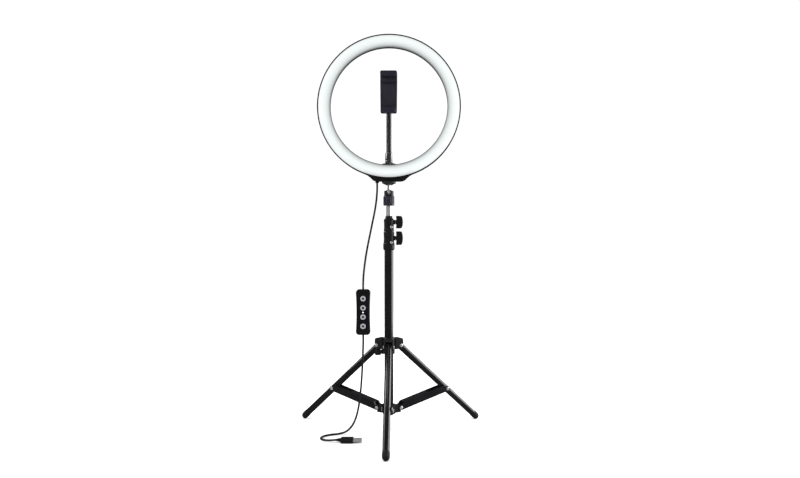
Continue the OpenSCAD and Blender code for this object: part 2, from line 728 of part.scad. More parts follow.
module cord_tube(route, n) {
    p = smooth(route, n);
    rings = [for (i = [0 : len(p) - 1])
        ring_at(p[i], i == 0 ? unit(route[1] - route[0])
            : i == len(p) - 1 ? unit(route[len(route) - 1] - route[len(route) - 2])
            : tangent(p, i))];
    points = [for (r = rings, q = r) q];
    last = (len(p) - 1) * cord_sides;
    polyhedron(points = points, faces = concat(
        [[for (k = [0 : cord_sides - 1]) cord_sides - 1 - k]],
        [[for (k = [0 : cord_sides - 1]) last + k]],
        [for (i = [0 : len(p) - 2], k = [0 : cord_sides - 1], half = [0, 1])
            let (a = i * cord_sides + k, b = i * cord_sides + (k + 1) % cord_sides)
            half == 0 ? [a, b, b + cord_sides] : [a, b + cord_sides, a + cord_sides]]
    ));
}

module cord_upper() color("#0e0e0e") at_mast() cord_tube(UPPER_ROUTE, 2);
module cord_lower() color("#0e0e0e") at_mast() cord_tube(LOWER_ROUTE, 3);

// The plug lies on the floor and points along +X
module usb_axes() at_mast() translate(usb_tail) children();

module usb_body() color("#121214") usb_axes() difference() {
    union() {
        rotate([0, 90, 0]) cylinder(d1 = 4.6, d2 = 7.4, h = usb_relief + 0.5);
        translate([usb_relief, 0, 0]) rotate([90, 0, 90]) linear_extrude(usb_l) {
            square([usb_w - 3, usb_t], center = true);
            square([usb_w, usb_t - 3], center = true);
            for (x = [-1, 1], z = [-1, 1])
                translate([x * (usb_w / 2 - 1.5), z * (usb_t / 2 - 1.5)])
                    circle(r = 1.5, $fn = 24);
        }
    }
    translate([usb_relief + usb_l - 6, -shell_w / 2 - fit, -shell_t / 2 - fit])
        cube([10, shell_w + 2 * fit, shell_t + 2 * fit]);
}

module usb_shell() color("#b8b8bc") usb_axes()
    translate([usb_relief + usb_l - 5.9, -shell_w / 2, -shell_t / 2]) difference() {
        cube([shell_l + 5.9, shell_w, shell_t]);
        translate([5, 0.4, 0.4]) cube([shell_l + 5, shell_w - 0.8, shell_t - 0.8]);
        for (y = [2.6, 6.9]) translate([9.4, y, shell_t - 1]) cube([2.5, 2.5, 2]);
    }

column_tube();
column_end_cap();
brace_hub();
brace_hub_pins();
lower_clamp();
lower_clamp_bolt();
lower_clamp_knob();
leg_hub();
leg_hub_pins();
leg_hub_knob();
leg_front();
leg_left();
leg_right();
foot_front();
foot_left();
foot_right();
brace_front();
brace_left();
brace_right();
rivets_front();
rivets_left();
rivets_right();
middle_tube();
upper_clamp();
upper_clamp_bolt();
upper_clamp_knob();
top_tube();
head_stud();
ball_cup();
lock_ring();
head_ball();
head_platform();
ring_shell();
ring_diffuser();
led_board();
leds();
base_cover();
threaded_insert();
housing_screws();
cord_grommet();
neck_ferrule();
neck_lower();
neck_middle();
neck_upper();
neck_swivel();
clip_back();
clip_jaw();
clip_spring();
controller_front();
controller_back();
controller_board();
status_light();
button_power();
button_colour();
button_brighter();
button_dimmer();
cord_upper();
cord_lower();
usb_body();
usb_shell();
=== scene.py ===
"""Ring light on a folding stand: the looks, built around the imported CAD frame. Metres, row frame."""
import math

import bmesh
import bpy
from mathutils import Matrix, Vector
from mathutils.geometry import delaunay_2d_cdt


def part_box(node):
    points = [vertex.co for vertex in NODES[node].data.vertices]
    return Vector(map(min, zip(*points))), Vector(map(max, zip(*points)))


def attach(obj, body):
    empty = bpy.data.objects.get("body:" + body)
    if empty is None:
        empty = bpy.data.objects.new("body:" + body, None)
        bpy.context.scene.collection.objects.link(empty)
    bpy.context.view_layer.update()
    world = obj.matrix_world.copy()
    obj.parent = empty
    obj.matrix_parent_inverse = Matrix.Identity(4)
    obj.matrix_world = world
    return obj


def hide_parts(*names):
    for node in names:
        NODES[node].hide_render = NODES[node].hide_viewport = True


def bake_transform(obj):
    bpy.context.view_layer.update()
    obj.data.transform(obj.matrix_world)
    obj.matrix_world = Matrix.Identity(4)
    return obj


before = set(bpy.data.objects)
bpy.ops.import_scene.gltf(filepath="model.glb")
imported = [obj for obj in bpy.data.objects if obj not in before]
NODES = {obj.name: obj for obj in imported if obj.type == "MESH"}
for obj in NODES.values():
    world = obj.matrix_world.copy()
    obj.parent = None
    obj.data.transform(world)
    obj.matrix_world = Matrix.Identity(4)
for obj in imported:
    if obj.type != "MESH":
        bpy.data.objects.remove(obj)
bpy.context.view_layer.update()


MM = 0.001


def mid(node):
    """Middle of a CAD node's box."""
    lo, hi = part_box(node)
    return (lo + hi) / 2


def half_width(node):
    """Half of a CAD node's box along X, which is a round part's radius."""
    lo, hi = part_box(node)
    return (hi.x - lo.x) / 2


# ---- Driving places, read from the frame ----
MAST_Y = mid("column_tube").y
RING_R = half_width("ring_shell")
RING_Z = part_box("ring_shell")[1].z - RING_R

# ---- Camera and light ----
CAM_DISTANCE = 1.4455
CAM_HEIGHT = 0.3652
CAM_AROUND = math.radians(1.47)
CAM_YAW = math.radians(0.674)
CAM_DOWN = math.radians(0.677)
CAM_LENS = 35.94
WORLD_STRENGTH = 1.04
FLOOR_WHITE = 0.97
DIM = 0.06
FLOOR_SIDE = 12.0


def make_camera():
    data = bpy.data.cameras.new("camera")
    data.lens = CAM_LENS
    data.sensor_width = 36
    data.clip_end = 50
    cam = bpy.data.objects.new("camera", data)
    bpy.context.scene.collection.objects.link(cam)
    cam.location = (CAM_DISTANCE * math.sin(CAM_AROUND),
                    MAST_Y - CAM_DISTANCE * math.cos(CAM_AROUND), CAM_HEIGHT)
    cam.rotation_euler = (math.pi / 2 - CAM_DOWN, 0, CAM_YAW)
    bpy.context.scene.camera = cam


def area_light(name, place, target, size, power):
    data = bpy.data.lights.new(name, "AREA")
    data.shape = "RECTANGLE"
    data.size, data.size_y = size
    data.energy = power
    lamp = bpy.data.objects.new(name, data)
    bpy.context.scene.collection.objects.link(lamp)
    lamp.location = place
    lamp.visible_camera = False
    lamp.rotation_euler = (Vector(target) - Vector(place)).to_track_quat("-Z", "Y").to_euler()


def dim_in_gloss(tree, kind, output, socket, pale, dim):
    """Shades with the pale value, or the dim one where glossy black mirrors it and should stay black."""
    tree.nodes.clear()
    mix = tree.nodes.new("ShaderNodeMixShader")
    ray = tree.nodes.new("ShaderNodeLightPath")
    tree.links.new(ray.outputs["Is Glossy Ray"], mix.inputs["Fac"])
    for place, value in ((1, pale), (2, dim)):
        shade = tree.nodes.new(kind)
        shade.inputs["Color"].default_value = (1, 1, 1, 1)
        shade.inputs[socket].default_value = value
        tree.links.new(shade.outputs[0], mix.inputs[place])
    out = tree.nodes.new(output)
    tree.links.new(mix.outputs[0], out.inputs["Surface"])


def make_stage():
    world = bpy.data.worlds.new("studio")
    bpy.context.scene.world = world
    world.use_nodes = True
    dim_in_gloss(world.node_tree, "ShaderNodeBackground", "ShaderNodeOutputWorld", "Strength",
                 WORLD_STRENGTH, DIM)

    mesh = bpy.data.meshes.new("floor")
    mesh.from_pydata([(x * FLOOR_SIDE, y * FLOOR_SIDE, 0)
                      for x, y in ((-1, -1), (1, -1), (1, 1), (-1, 1))], [], [(0, 1, 2, 3)])
    floor = bpy.data.objects.new("floor", mesh)
    bpy.context.scene.collection.objects.link(floor)
    paint = bpy.data.materials.new("floor_paint")
    paint.use_nodes = True
    dim_in_gloss(paint.node_tree, "ShaderNodeBsdfDiffuse", "ShaderNodeOutputMaterial", "Color",
                 (FLOOR_WHITE, FLOOR_WHITE, FLOOR_WHITE, 1), (DIM, DIM, DIM, 1))
    mesh.materials.append(paint)

    aim = (0, MAST_Y, 0.35)
    area_light("key", (-1.2, -1.7, 1.7), aim, (0.5, 0.5), 5)
    area_light("right_panel", (1.2, 0.38, 0.45), (0, MAST_Y, 0.3), (1.5, 1.1), 24)
    area_light("left_panel", (-1.5, 0.2, 0.85), (0, MAST_Y, 0.5), (1.0, 0.5), 7)
    area_light("top_left", (-1.1, 0.35, 1.25), (0, 0, 0.1), (0.35, 0.35), 4)
    area_light("top", (0, 0.1, 2.4), aim, (0.8, 0.8), 4)
    bpy.context.scene.view_settings.view_transform = "Standard"


make_camera()
make_stage()


# ---- Materials ----
class Tree:
    """A small helper to write a material's nodes."""

    def __init__(self, name):
        self.material = bpy.data.materials.new(name)
        self.material.use_nodes = True
        self.tree = self.material.node_tree
        self.shader = self.tree.nodes["Principled BSDF"]
        self.place = self.tree.nodes.new("ShaderNodeTexCoord").outputs["Object"]

    def node(self, kind, **values):
        n = self.tree.nodes.new(kind)
        for key, value in values.items():
            if key in n.inputs:
                n.inputs[key].default_value = value
            else:
                setattr(n, key, value)
        return n

    def link(self, a, b):
        self.tree.links.new(a, b)

    def noise(self, scale, detail=3.0, rough=0.5, stretch=None):
        n = self.node("ShaderNodeTexNoise", Scale=scale, Detail=detail, Roughness=rough)
        source = self.place
        if stretch:
            m = self.node("ShaderNodeMapping", Scale=stretch)
            self.link(source, m.inputs["Vector"])
            source = m.outputs["Vector"]
        self.link(source, n.inputs["Vector"])
        return n.outputs["Fac"]

    def ramp(self, source, low, high):
        n = self.node("ShaderNodeMapRange", **{"From Min": 0.3, "From Max": 0.7,
                                               "To Min": low, "To Max": high})
        self.link(source, n.inputs["Value"])
        return n.outputs["Result"]

    def blend(self, source, low, high):
        n = self.node("ShaderNodeMix", data_type="RGBA")
        n.inputs["A"].default_value = (*low, 1)
        n.inputs["B"].default_value = (*high, 1)
        self.link(source, n.inputs["Factor"])
        return n.outputs["Result"]


def surface(name, base, rough, metal=0.0, grain=900.0, stretch=None, tint=0.12,
            rough_var=0.08, bump=0.05, depth=0.1, specular=0.22, coat=0.0, worn=None, edge=0.35):
    """A procedural finish: fine grain, soft blotches of wear, uneven roughness and rounded edges."""
    t = Tree(name)
    s = t.shader
    fine = t.noise(grain, 4.0, 0.55, stretch)
    broad = t.noise(35.0, 3.0, 0.6)
    low = tuple(max(c * (1 - tint), 0) for c in base)
    high = worn or tuple(min(c * (1 + tint) + 0.002, 1) for c in base)
    both = t.node("ShaderNodeMath", operation="MULTIPLY")
    t.link(t.ramp(fine, 0.5, 1.0), both.inputs[0])
    t.link(t.ramp(broad, 0.2, 1.0), both.inputs[1])
    t.link(t.blend(both.outputs[0], low, high), s.inputs["Base Color"])
    t.link(t.ramp(broad, max(rough - rough_var, 0.03), min(rough + rough_var, 1)),
           s.inputs["Roughness"])
    s.inputs["Metallic"].default_value = metal
    s.inputs["Specular IOR Level"].default_value = specular
    s.inputs["Coat Weight"].default_value = coat
    s.inputs["Coat Roughness"].default_value = 0.12
    bevel = t.node("ShaderNodeBevel", samples=6, Radius=edge * MM)
    relief = t.node("ShaderNodeBump", Strength=bump, Distance=depth * MM)
    t.link(fine, relief.inputs["Height"])
    t.link(bevel.outputs["Normal"], relief.inputs["Normal"])
    t.link(relief.outputs["Normal"], s.inputs["Normal"])
    return t.material


BLACK_COAT = surface("black_powder_coat", (0.006, 0.006, 0.007), 0.16, specular=0.5, grain=1400,
                     rough_var=0.06, bump=0.08)
BLACK_PLASTIC = surface("black_plastic", (0.007, 0.007, 0.008), 0.36, grain=2200, bump=0.22)
HUB_PLASTIC = surface("hub_plastic", (0.013, 0.013, 0.014), 0.36, grain=2000, bump=0.2)
GLOSS_PLASTIC = surface("gloss_plastic", (0.005, 0.005, 0.006), 0.22, grain=1200, bump=0.04)
JAW_PLASTIC = surface("jaw_plastic", (0.016, 0.015, 0.026), 0.36, grain=1800, bump=0.12)
STEEL = surface("zinc_steel", (0.66, 0.66, 0.67), 0.26, metal=0.7, grain=700,
                stretch=(1, 1, 9), tint=0.08, bump=0.06, worn=(0.74, 0.74, 0.75))
CHROME = surface("chrome", (0.82, 0.82, 0.83), 0.1, metal=0.76, grain=500,
                 stretch=(1, 1, 0.06), tint=0.05, rough_var=0.04, bump=0.02)
BRASS = surface("brass", (0.62, 0.45, 0.18), 0.3, metal=1.0, grain=900, tint=0.15)
RUBBER = surface("rubber", (0.008, 0.008, 0.008), 0.6, grain=2600, bump=0.3)
PAD_RUBBER = surface("pad_rubber", (0.017, 0.016, 0.026), 0.6, grain=2600, bump=0.3)
MATT_BLACK = surface("matt_black", (0.003, 0.003, 0.0035), 0.75, specular=0.06, grain=2400,
                     bump=0.15)
LOCK_PLASTIC = surface("lock_plastic", (0.014, 0.014, 0.026), 0.3, specular=0.4, grain=1800,
                       bump=0.15)
CORD_PVC = surface("cord_pvc", (0.011, 0.011, 0.012), 0.4, grain=1600, bump=0.12)
NECK_METAL = surface("neck_metal", (0.16, 0.16, 0.165), 0.28, metal=0.93, grain=1500, bump=0.1)
DARK_CHROME = surface("dark_chrome", (0.30, 0.29, 0.30), 0.16, metal=0.96, grain=900, bump=0.03)
BUTTON = surface("silver_button", (0.52, 0.52, 0.55), 0.28, metal=0.35, grain=1500, tint=0.07)
BUTTON_MARK = surface("button_mark", (0.012, 0.012, 0.014), 0.5, grain=1500)
SCREW_DARK = surface("dark_screw", (0.10, 0.10, 0.11), 0.35, metal=1.0, grain=900)
BOARD_GREEN = surface("board_green", (0.02, 0.16, 0.06), 0.35, grain=800)
BOARD_WHITE = surface("board_white", (0.80, 0.81, 0.79), 0.45, grain=800, tint=0.05)
PHOSPHOR = surface("phosphor", (0.85, 0.70, 0.28), 0.4, grain=1200)
TONGUE = surface("tongue", (0.75, 0.76, 0.78), 0.4, grain=1200, tint=0.05)


def lit_diffuser_painted_shade():
    """Lit white plastic with painted shade: greyer towards the hole and a little at the rim, with faint
    clouds.
    """
    t = Tree("lit_diffuser_painted_shade")
    s = t.shader
    centred = t.node("ShaderNodeVectorMath", operation="SUBTRACT")
    centred.inputs[1].default_value = (0, 0, RING_Z)
    t.link(t.place, centred.inputs[0])
    flat = t.node("ShaderNodeVectorMath", operation="MULTIPLY")
    flat.inputs[1].default_value = (1, 0, 1)
    t.link(centred.outputs[0], flat.inputs[0])
    length = t.node("ShaderNodeVectorMath", operation="LENGTH")
    t.link(flat.outputs[0], length.inputs[0])
    # Painted shade: this ramp greys the glow and the colour towards the hole and a little towards the
    # rim
    ramp = t.node("ShaderNodeValToRGB")
    spread = t.node("ShaderNodeMapRange", **{"From Min": RING_R * 0.81, "From Max": RING_R})
    t.link(length.outputs["Value"], spread.inputs["Value"])
    t.link(spread.outputs["Result"], ramp.inputs["Fac"])
    painted_shade_stops = ramp.color_ramp.elements
    painted_shade_stops[0].position, painted_shade_stops[0].color = 0.0, (0.08, 0.09, 0.09, 1)
    painted_shade_stops[1].position, painted_shade_stops[1].color = 1.0, (0.80, 0.83, 0.83, 1)
    for at, grey in ((0.05, 0.2), (0.085, 0.42), (0.16, 0.64), (0.26, 0.82), (0.4, 0.95), (0.6, 1.0)):
        e = painted_shade_stops.new(at)
        e.color = (grey * 0.945, grey, grey * 0.99, 1)
    cloudy = t.noise(18.0, 2.0, 0.5)
    shade = t.node("ShaderNodeMix", data_type="RGBA", blend_type="MULTIPLY")
    shade.inputs["Factor"].default_value = 0.10
    t.link(ramp.outputs["Color"], shade.inputs["A"])
    t.link(t.blend(cloudy, (0.88, 0.9, 0.9), (1, 1, 1)), shade.inputs["B"])
    deep = t.node("ShaderNodeMix", data_type="RGBA", blend_type="MULTIPLY")
    deep.inputs["Factor"].default_value = 1.0
    deep.inputs["B"].default_value = (0.30, 0.30, 0.30, 1)
    t.link(shade.outputs["Result"], deep.inputs["A"])
    t.link(deep.outputs["Result"], s.inputs["Base Color"])
    t.link(shade.outputs["Result"], s.inputs["Emission Color"])
    s.inputs["Emission Strength"].default_value = 0.62
    s.inputs["Specular IOR Level"].default_value = 0.2
    t.link(t.ramp(t.noise(60.0), 0.38, 0.5), s.inputs["Roughness"])
    relief = t.node("ShaderNodeBump", Strength=0.05, Distance=0.1 * MM)
    t.link(t.noise(1800.0), relief.inputs["Height"])
    t.link(relief.outputs["Normal"], s.inputs["Normal"])
    return t.material


def lit_lens():
    t = Tree("lit_lens")
    s = t.shader
    glow = t.blend(t.noise(900.0), (0.80, 0.80, 0.95), (0.95, 0.95, 1.0))
    t.link(glow, s.inputs["Base Color"])
    t.link(glow, s.inputs["Emission Color"])
    s.inputs["Emission Strength"].default_value = 0.5
    t.link(t.ramp(t.noise(300.0), 0.15, 0.3), s.inputs["Roughness"])
    return t.material


DIFFUSER = lit_diffuser_painted_shade()
LENS = lit_lens()

# The legs' directions about the mast, in degrees, and the controller's keys from the top down
LEGS = {"front": 270, "left": 150, "right": 30}
KEYS = ("power", "colour", "brighter", "dimmer")

FINISH = {
    "column_tube": BLACK_COAT, "column_end_cap": BLACK_PLASTIC, "middle_tube": BLACK_COAT,
    "brace_hub": HUB_PLASTIC, "brace_hub_pins": STEEL, "lower_clamp": BLACK_PLASTIC,
    "lower_clamp_bolt": STEEL, "upper_clamp_bolt": STEEL, "upper_clamp": BLACK_PLASTIC,
    "lower_clamp_knob": BLACK_PLASTIC, "upper_clamp_knob": BLACK_PLASTIC,
    "leg_hub": HUB_PLASTIC, "leg_hub_pins": STEEL, "leg_hub_knob": BLACK_PLASTIC,
    "top_tube": CHROME, "head_stud": STEEL, "ball_cup": BLACK_PLASTIC,
    "lock_ring": LOCK_PLASTIC, "head_ball": CHROME, "head_platform": HUB_PLASTIC,
    "ring_shell": GLOSS_PLASTIC, "ring_diffuser": DIFFUSER, "led_board": BOARD_WHITE,
    "leds": PHOSPHOR, "base_cover": GLOSS_PLASTIC, "threaded_insert": BRASS,
    "housing_screws": SCREW_DARK, "cord_grommet": RUBBER, "neck_ferrule": DARK_CHROME,
    "neck_swivel": BLACK_PLASTIC, "clip_back": JAW_PLASTIC, "clip_jaw": JAW_PLASTIC,
    "clip_spring": STEEL, "controller_front": GLOSS_PLASTIC,
    "controller_back": GLOSS_PLASTIC, "controller_board": BOARD_GREEN,
    "status_light": LENS, "usb_body": RUBBER, "usb_shell": STEEL,
}
for part in LEGS:
    FINISH.update({"leg_" + part: BLACK_COAT, "foot_" + part: RUBBER,
                   "brace_" + part: BLACK_COAT, "rivets_" + part: STEEL})
for part in KEYS:
    FINISH["button_" + part] = BUTTON
for part in ("lower", "middle", "upper"):
    FINISH["neck_" + part] = NECK_METAL
for part in ("upper", "lower"):
    FINISH["cord_" + part] = CORD_PVC

SMOOTH_ANGLE = math.radians(32)


def smooth_by_angle(mesh, angle=SMOOTH_ANGLE):
    """Rounds the shading over every edge flatter than the angle."""
    bm = bmesh.new()
    bm.from_mesh(mesh)
    for f in bm.faces:
        f.smooth = True
    for e in bm.edges:
        e.smooth = len(e.link_faces) == 2 and e.calc_face_angle(math.pi) < angle
    bm.to_mesh(mesh)
    bm.free()


for node_name, finish in FINISH.items():
    cad_mesh = NODES[node_name].data
    cad_mesh.materials.clear()
    cad_mesh.materials.append(finish)


# ---- Mesh helpers ----
def make(name, body, finish, verts, faces, smooth=SMOOTH_ANGLE, slot=None):
    """A closed mesh piece riding on a body (none for a piece shared by two)."""
    mesh = bpy.data.meshes.new(name)
    mesh.from_pydata([tuple(v) for v in verts], [], faces)
    bm = bmesh.new()
    bm.from_mesh(mesh)
    bmesh.ops.remove_doubles(bm, verts=bm.verts, dist=1e-6)
    bmesh.ops.recalc_face_normals(bm, faces=bm.faces)
    bm.to_mesh(mesh)
    bm.free()
    mesh.update()
    smooth_by_angle(mesh, smooth)
    mesh.materials.append(finish)
    obj = bpy.data.objects.new(name, mesh)
    bpy.context.scene.collection.objects.link(obj)
    if body:
        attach(obj, body)
    return obj


def catmull(points, steps):
    """A smooth line through the points."""
    pts = [Vector(p) for p in points]
    ends = [2 * pts[0] - pts[1]] + pts + [2 * pts[-1] - pts[-2]]
    line = []
    for i in range(1, len(ends) - 2):
        a, b, c, d = ends[i - 1:i + 3]
        for k in range(steps):
            t = k / steps
            line.append(0.5 * ((2 * b) + (c - a) * t + (2 * a - 5 * b + 4 * c - d) * t * t
                               + (3 * b - 3 * c + d - a) * t * t * t))
    line.append(pts[-1])
    return line


def sweep(line, radius, sides=16):
    """Vertices and faces of a round tube along a line; radius may vary with the place."""
    rings, verts, faces = [], [], []
    normal = None
    for i, p in enumerate(line):
        ahead = line[min(i + 1, len(line) - 1)] - line[max(i - 1, 0)]
        ahead.normalize()
        if normal is None:
            normal = ahead.orthogonal().normalized()
        normal = (normal - ahead * normal.dot(ahead)).normalized()
        across = ahead.cross(normal)
        r = radius(i) if callable(radius) else radius
        start = len(verts)
        for k in range(sides):
            a = 2 * math.pi * k / sides
            verts.append(p + (normal * math.cos(a) + across * math.sin(a)) * r)
        rings.append(start)
    for a, b in zip(rings, rings[1:]):
        for k in range(sides):
            n = (k + 1) % sides
            faces.append((a + k, a + n, b + n, b + k))
    faces.append(tuple(rings[0] + k for k in reversed(range(sides))))
    faces.append(tuple(rings[-1] + k for k in range(sides)))
    return verts, faces


# ---- Cords: they hang and lie under their own weight ----
CORD_R = 1.75 * MM


def from_mast(points):
    """Millimetres about the mast's axis to metres in the row frame."""
    return [Vector((x * MM, y * MM + MAST_Y, z * MM)) for x, y, z in points]


UPPER_LINE = catmull(from_mast([
    (-21.2, 0, 449.6), (-21.2, 0, 440), (-21.6, -0.1, 430), (-23, -0.6, 415),
    (-25.6, -1.8, 398), (-29.2, -3.3, 380), (-33.2, -5, 360), (-37.2, -6.8, 340),
    (-40.8, -8.5, 320), (-43.6, -9.8, 300), (-45.4, -10.6, 282), (-46, -11, 268),
    (-46, -11, 257.8)]), 8)
LOWER_LINE = catmull(from_mast([
    (-46, -11, 176), (-46, -11, 160), (-47, -12, 130), (-48.5, -13, 100), (-51, -15, 70),
    (-55, -17, 42), (-62, -20, 20), (-73, -24, 6.5), (-87, -29, 2.1), (-102, -36, 2),
    (-113, -46, 2), (-117, -59, 2), (-112, -71, 2.2), (-101, -78.5, 3.2), (-88, -80, 4.3)]), 10)

upper_cord = make("control_cord", None, CORD_PVC, *sweep(UPPER_LINE, CORD_R), slot="cord_pvc")
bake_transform(upper_cord)
lower_cord = make("power_cord", "head_base", CORD_PVC, *sweep(LOWER_LINE, CORD_R), slot="cord_pvc")
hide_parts("cord_upper")
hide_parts("cord_lower")


# ---- Shape helpers ----
def turned(profile, place, sides, walls):
    """Turns an outline of (radius, height) about an axis; place maps (x, y, h) to the row frame."""
    verts, faces = [], []
    n = len(profile)
    for k in range(sides):
        a = 2 * math.pi * k / sides
        verts += [place(r * math.cos(a), r * math.sin(a), h) for r, h in profile]
    for k in range(sides):
        j = (k + 1) % sides
        for i in range(walls):
            m = (i + 1) % n
            faces.append((k * n + i, j * n + i, j * n + m, k * n + m))
    return verts, faces


def lathe(profile, place, sides=64):
    """A ring turned from a closed outline."""
    return turned(profile, place, sides, len(profile))


def solid_lathe(profile, place, sides=64):
    """A solid turned from an open outline, and closed by a flat cap at each of its ends."""
    n = len(profile)
    verts, faces = turned(profile, place, sides, n - 1)
    faces.append(tuple(k * n for k in range(sides)))
    faces.append(tuple(k * n + n - 1 for k in range(sides)))
    return verts, faces


def round_outline(radius, sides):
    """Points around a circle; the radius may be a function of the angle."""
    points = []
    for k in range(sides):
        a = 2 * math.pi * k / sides
        r = radius(a) if callable(radius) else radius
        points.append((r * math.cos(a), r * math.sin(a)))
    return points


def fillet(points, steps=4):
    """Rounds the corners of an outline; each point is (x, y, radius) or (x, y)."""
    out = []
    n = len(points)
    for i, p in enumerate(points):
        r = p[2] if len(p) > 2 else 0
        here = Vector(p[:2])
        if not r:
            out.append(tuple(here))
            continue
        to_last = (Vector(points[i - 1][:2]) - here).normalized()
        to_next = (Vector(points[(i + 1) % n][:2]) - here).normalized()
        half = to_last.angle(to_next) / 2
        centre = here + (to_last + to_next).normalized() * (r / math.sin(half))
        start = here + to_last * (r / math.tan(half)) - centre
        end = here + to_next * (r / math.tan(half)) - centre
        turn = start.angle_signed(end)
        for k in range(steps + 1):
            a = -turn * k / steps
            out.append((centre.x + start.x * math.cos(a) - start.y * math.sin(a),
                        centre.y + start.x * math.sin(a) + start.y * math.cos(a)))
    return out


def rectangle(u0, u1, v0, v1, corner=0.0, steps=5):
    """A rectangle's outline, rounded at its corners."""
    return fillet([(u0, v0, corner), (u1, v0, corner), (u1, v1, corner), (u0, v1, corner)], steps)


def offset(outline, d):
    """Moves an outline inwards by d (anticlockwise outlines)."""
    out = []
    n = len(outline)
    for i, p in enumerate(outline):
        a = (Vector(p) - Vector(outline[i - 1]))
        b = (Vector(outline[(i + 1) % n]) - Vector(p))
        a = a.normalized() if a.length > 1e-9 else b.normalized()
        b = b.normalized() if b.length > 1e-9 else a
        na, nb = Vector((-a.y, a.x)), Vector((-b.y, b.x))
        m = na + nb
        m = m / max(m.length_squared / 2, 0.4) if m.length > 1e-6 else na
        out.append((p[0] + m.x * d, p[1] + m.y * d))
    return out


def signed_area(outline):
    return sum(a[0] * b[1] - b[0] * a[1] for a, b in zip(outline, outline[1:] + outline[:1])) / 2


def prism(outline, h0, h1, place, edge0=0.0, edge1=0.0, steps=3):
    """An outline raised from h0 to h1 with rounded edges; place maps (u, v, h) to the row frame."""
    if signed_area(outline) < 0:
        outline = outline[::-1]
    layers = []
    for k in range(steps + 1 if edge0 else 1):
        a = math.pi / 2 * (k / steps) if edge0 else math.pi / 2
        layers.append((edge0 * (1 - math.sin(a)), h0 + edge0 * (1 - math.cos(a))))
    for k in range(steps + 1 if edge1 else 1):
        a = math.pi / 2 * (1 - k / steps) if edge1 else math.pi / 2
        layers.append((edge1 * (1 - math.sin(a)), h1 - edge1 * (1 - math.cos(a))))
    verts, faces = [], []
    n = len(outline)
    for inset, h in layers:
        ring = offset(outline, inset) if inset else outline
        verts += [place(u, v, h) for u, v in ring]
    for k in range(len(layers) - 1):
        for i in range(n):
            m = (i + 1) % n
            faces.append((k * n + i, k * n + m, (k + 1) * n + m, (k + 1) * n + i))
    faces.append(tuple(reversed(range(n))))
    faces.append(tuple((len(layers) - 1) * n + i for i in range(n)))
    return verts, faces


def joined(*parts):
    """One vertex and face list out of several closed shells."""
    verts, faces = [], []
    for v, f in parts:
        start = len(verts)
        verts += list(v)
        faces += [tuple(i + start for i in face) for face in f]
    return verts, faces


def along_z(x=0.0, y=MAST_Y, z=0.0):
    return lambda u, v, h: (x + u, y + v, z + h)


def along_x(x=0.0, y=MAST_Y, z=0.0):
    """Heights run along +X."""
    return lambda u, v, h: (x + h, y + u, z + v)


def towards_front(x=0.0, y=MAST_Y, z=0.0):
    """Outline in X and Z, heights run along -Y."""
    return lambda u, v, h: (x + u, y - h, z + v)


def mm(*points):
    """Points given in millimetres."""
    return [tuple(c * MM for c in p) for p in points]


# ---- Light ----
HOLE_R = 105.5 * MM
RIM_R = RING_R - 2.1 * MM
CROWN = 8 * MM
INNER_WALL_R = 106.1 * MM
WALL_BACK = -9 * MM
SHELL_BACK = -10 * MM
BOARD_R = (109 * MM, 125.5 * MM)
BOSS_R = 38.3 * MM
BOSS_RISE = 3.3 * MM
LOBE = 136 * MM


def arc_profile():
    """The diffuser's cross-section: a shallow crown between the hole and the rim."""
    outer, inner = [], []
    steps = 20
    for k in range(steps + 1):
        t = -1 + 2 * k / steps
        r = (HOLE_R + RIM_R) / 2 + t * (RIM_R - HOLE_R) / 2
        h = 2 * MM + CROWN * (1 - abs(t) ** 2.3)
        outer.append((r, h))
        if 0 < k < steps:
            inner.append((r, h - 1.7 * MM * (1 - abs(t) ** 6)))
    return outer + inner[::-1]


ring_place = towards_front(z=RING_Z)
diffuser = make("diffuser", "light", DIFFUSER, *lathe(arc_profile(), ring_place, 240),
                slot="diffuser")
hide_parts("ring_diffuser")


def lobe_outline():
    """The base's outline: it leaves the ring on a tangent and ends in a short flat."""
    right = [(p.x, p.y) for p in catmull(mm(
        (47, -121.2, 0), (39.5, -124.6, 0), (33.5, -129.2, 0), (28.6, -133.8, 0),
        (22.5, -135.75, 0), (16, -136, 0)), 5)]
    return [(-x, y) for x, y in right] + right[::-1] + mm((30, -126.5), (-30, -126.5))


def boss_outline():
    """The low dome in the hole which holds the neck's foot."""
    top = [(BOSS_R * math.sin(a), BOSS_RISE - HOLE_R - BOSS_R * (1 - math.cos(a)))
           for a in (math.radians(d) for d in range(-26, 27, 2))]
    return top + mm((16, -107.3), (-16, -107.3))


def rim_band(r0, r1, h0, h1, edge):
    return lathe(rectangle(r0, r1, h0, h1, edge, 3), ring_place, 240)


shell = make("back_shell", "light", GLOSS_PLASTIC, *joined(
    rim_band(RING_R - 1.8 * MM, RING_R, WALL_BACK, 3 * MM, 0.6 * MM),
    rim_band(INNER_WALL_R, INNER_WALL_R + 1.4 * MM, SHELL_BACK, 1.2 * MM, 0.5 * MM),
    rim_band(INNER_WALL_R, RING_R - 1 * MM, SHELL_BACK, SHELL_BACK + 1.8 * MM, 0.8 * MM),
    prism(lobe_outline(), WALL_BACK, -1.05 * MM, ring_place, 1.5 * MM)), slot="black_gloss_plastic")
make("neck_boss", "light", MATT_BLACK,
     *prism(boss_outline(), WALL_BACK, 2 * MM, ring_place, 1.0 * MM, 0.8 * MM), slot="black_plastic")
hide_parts("ring_shell")


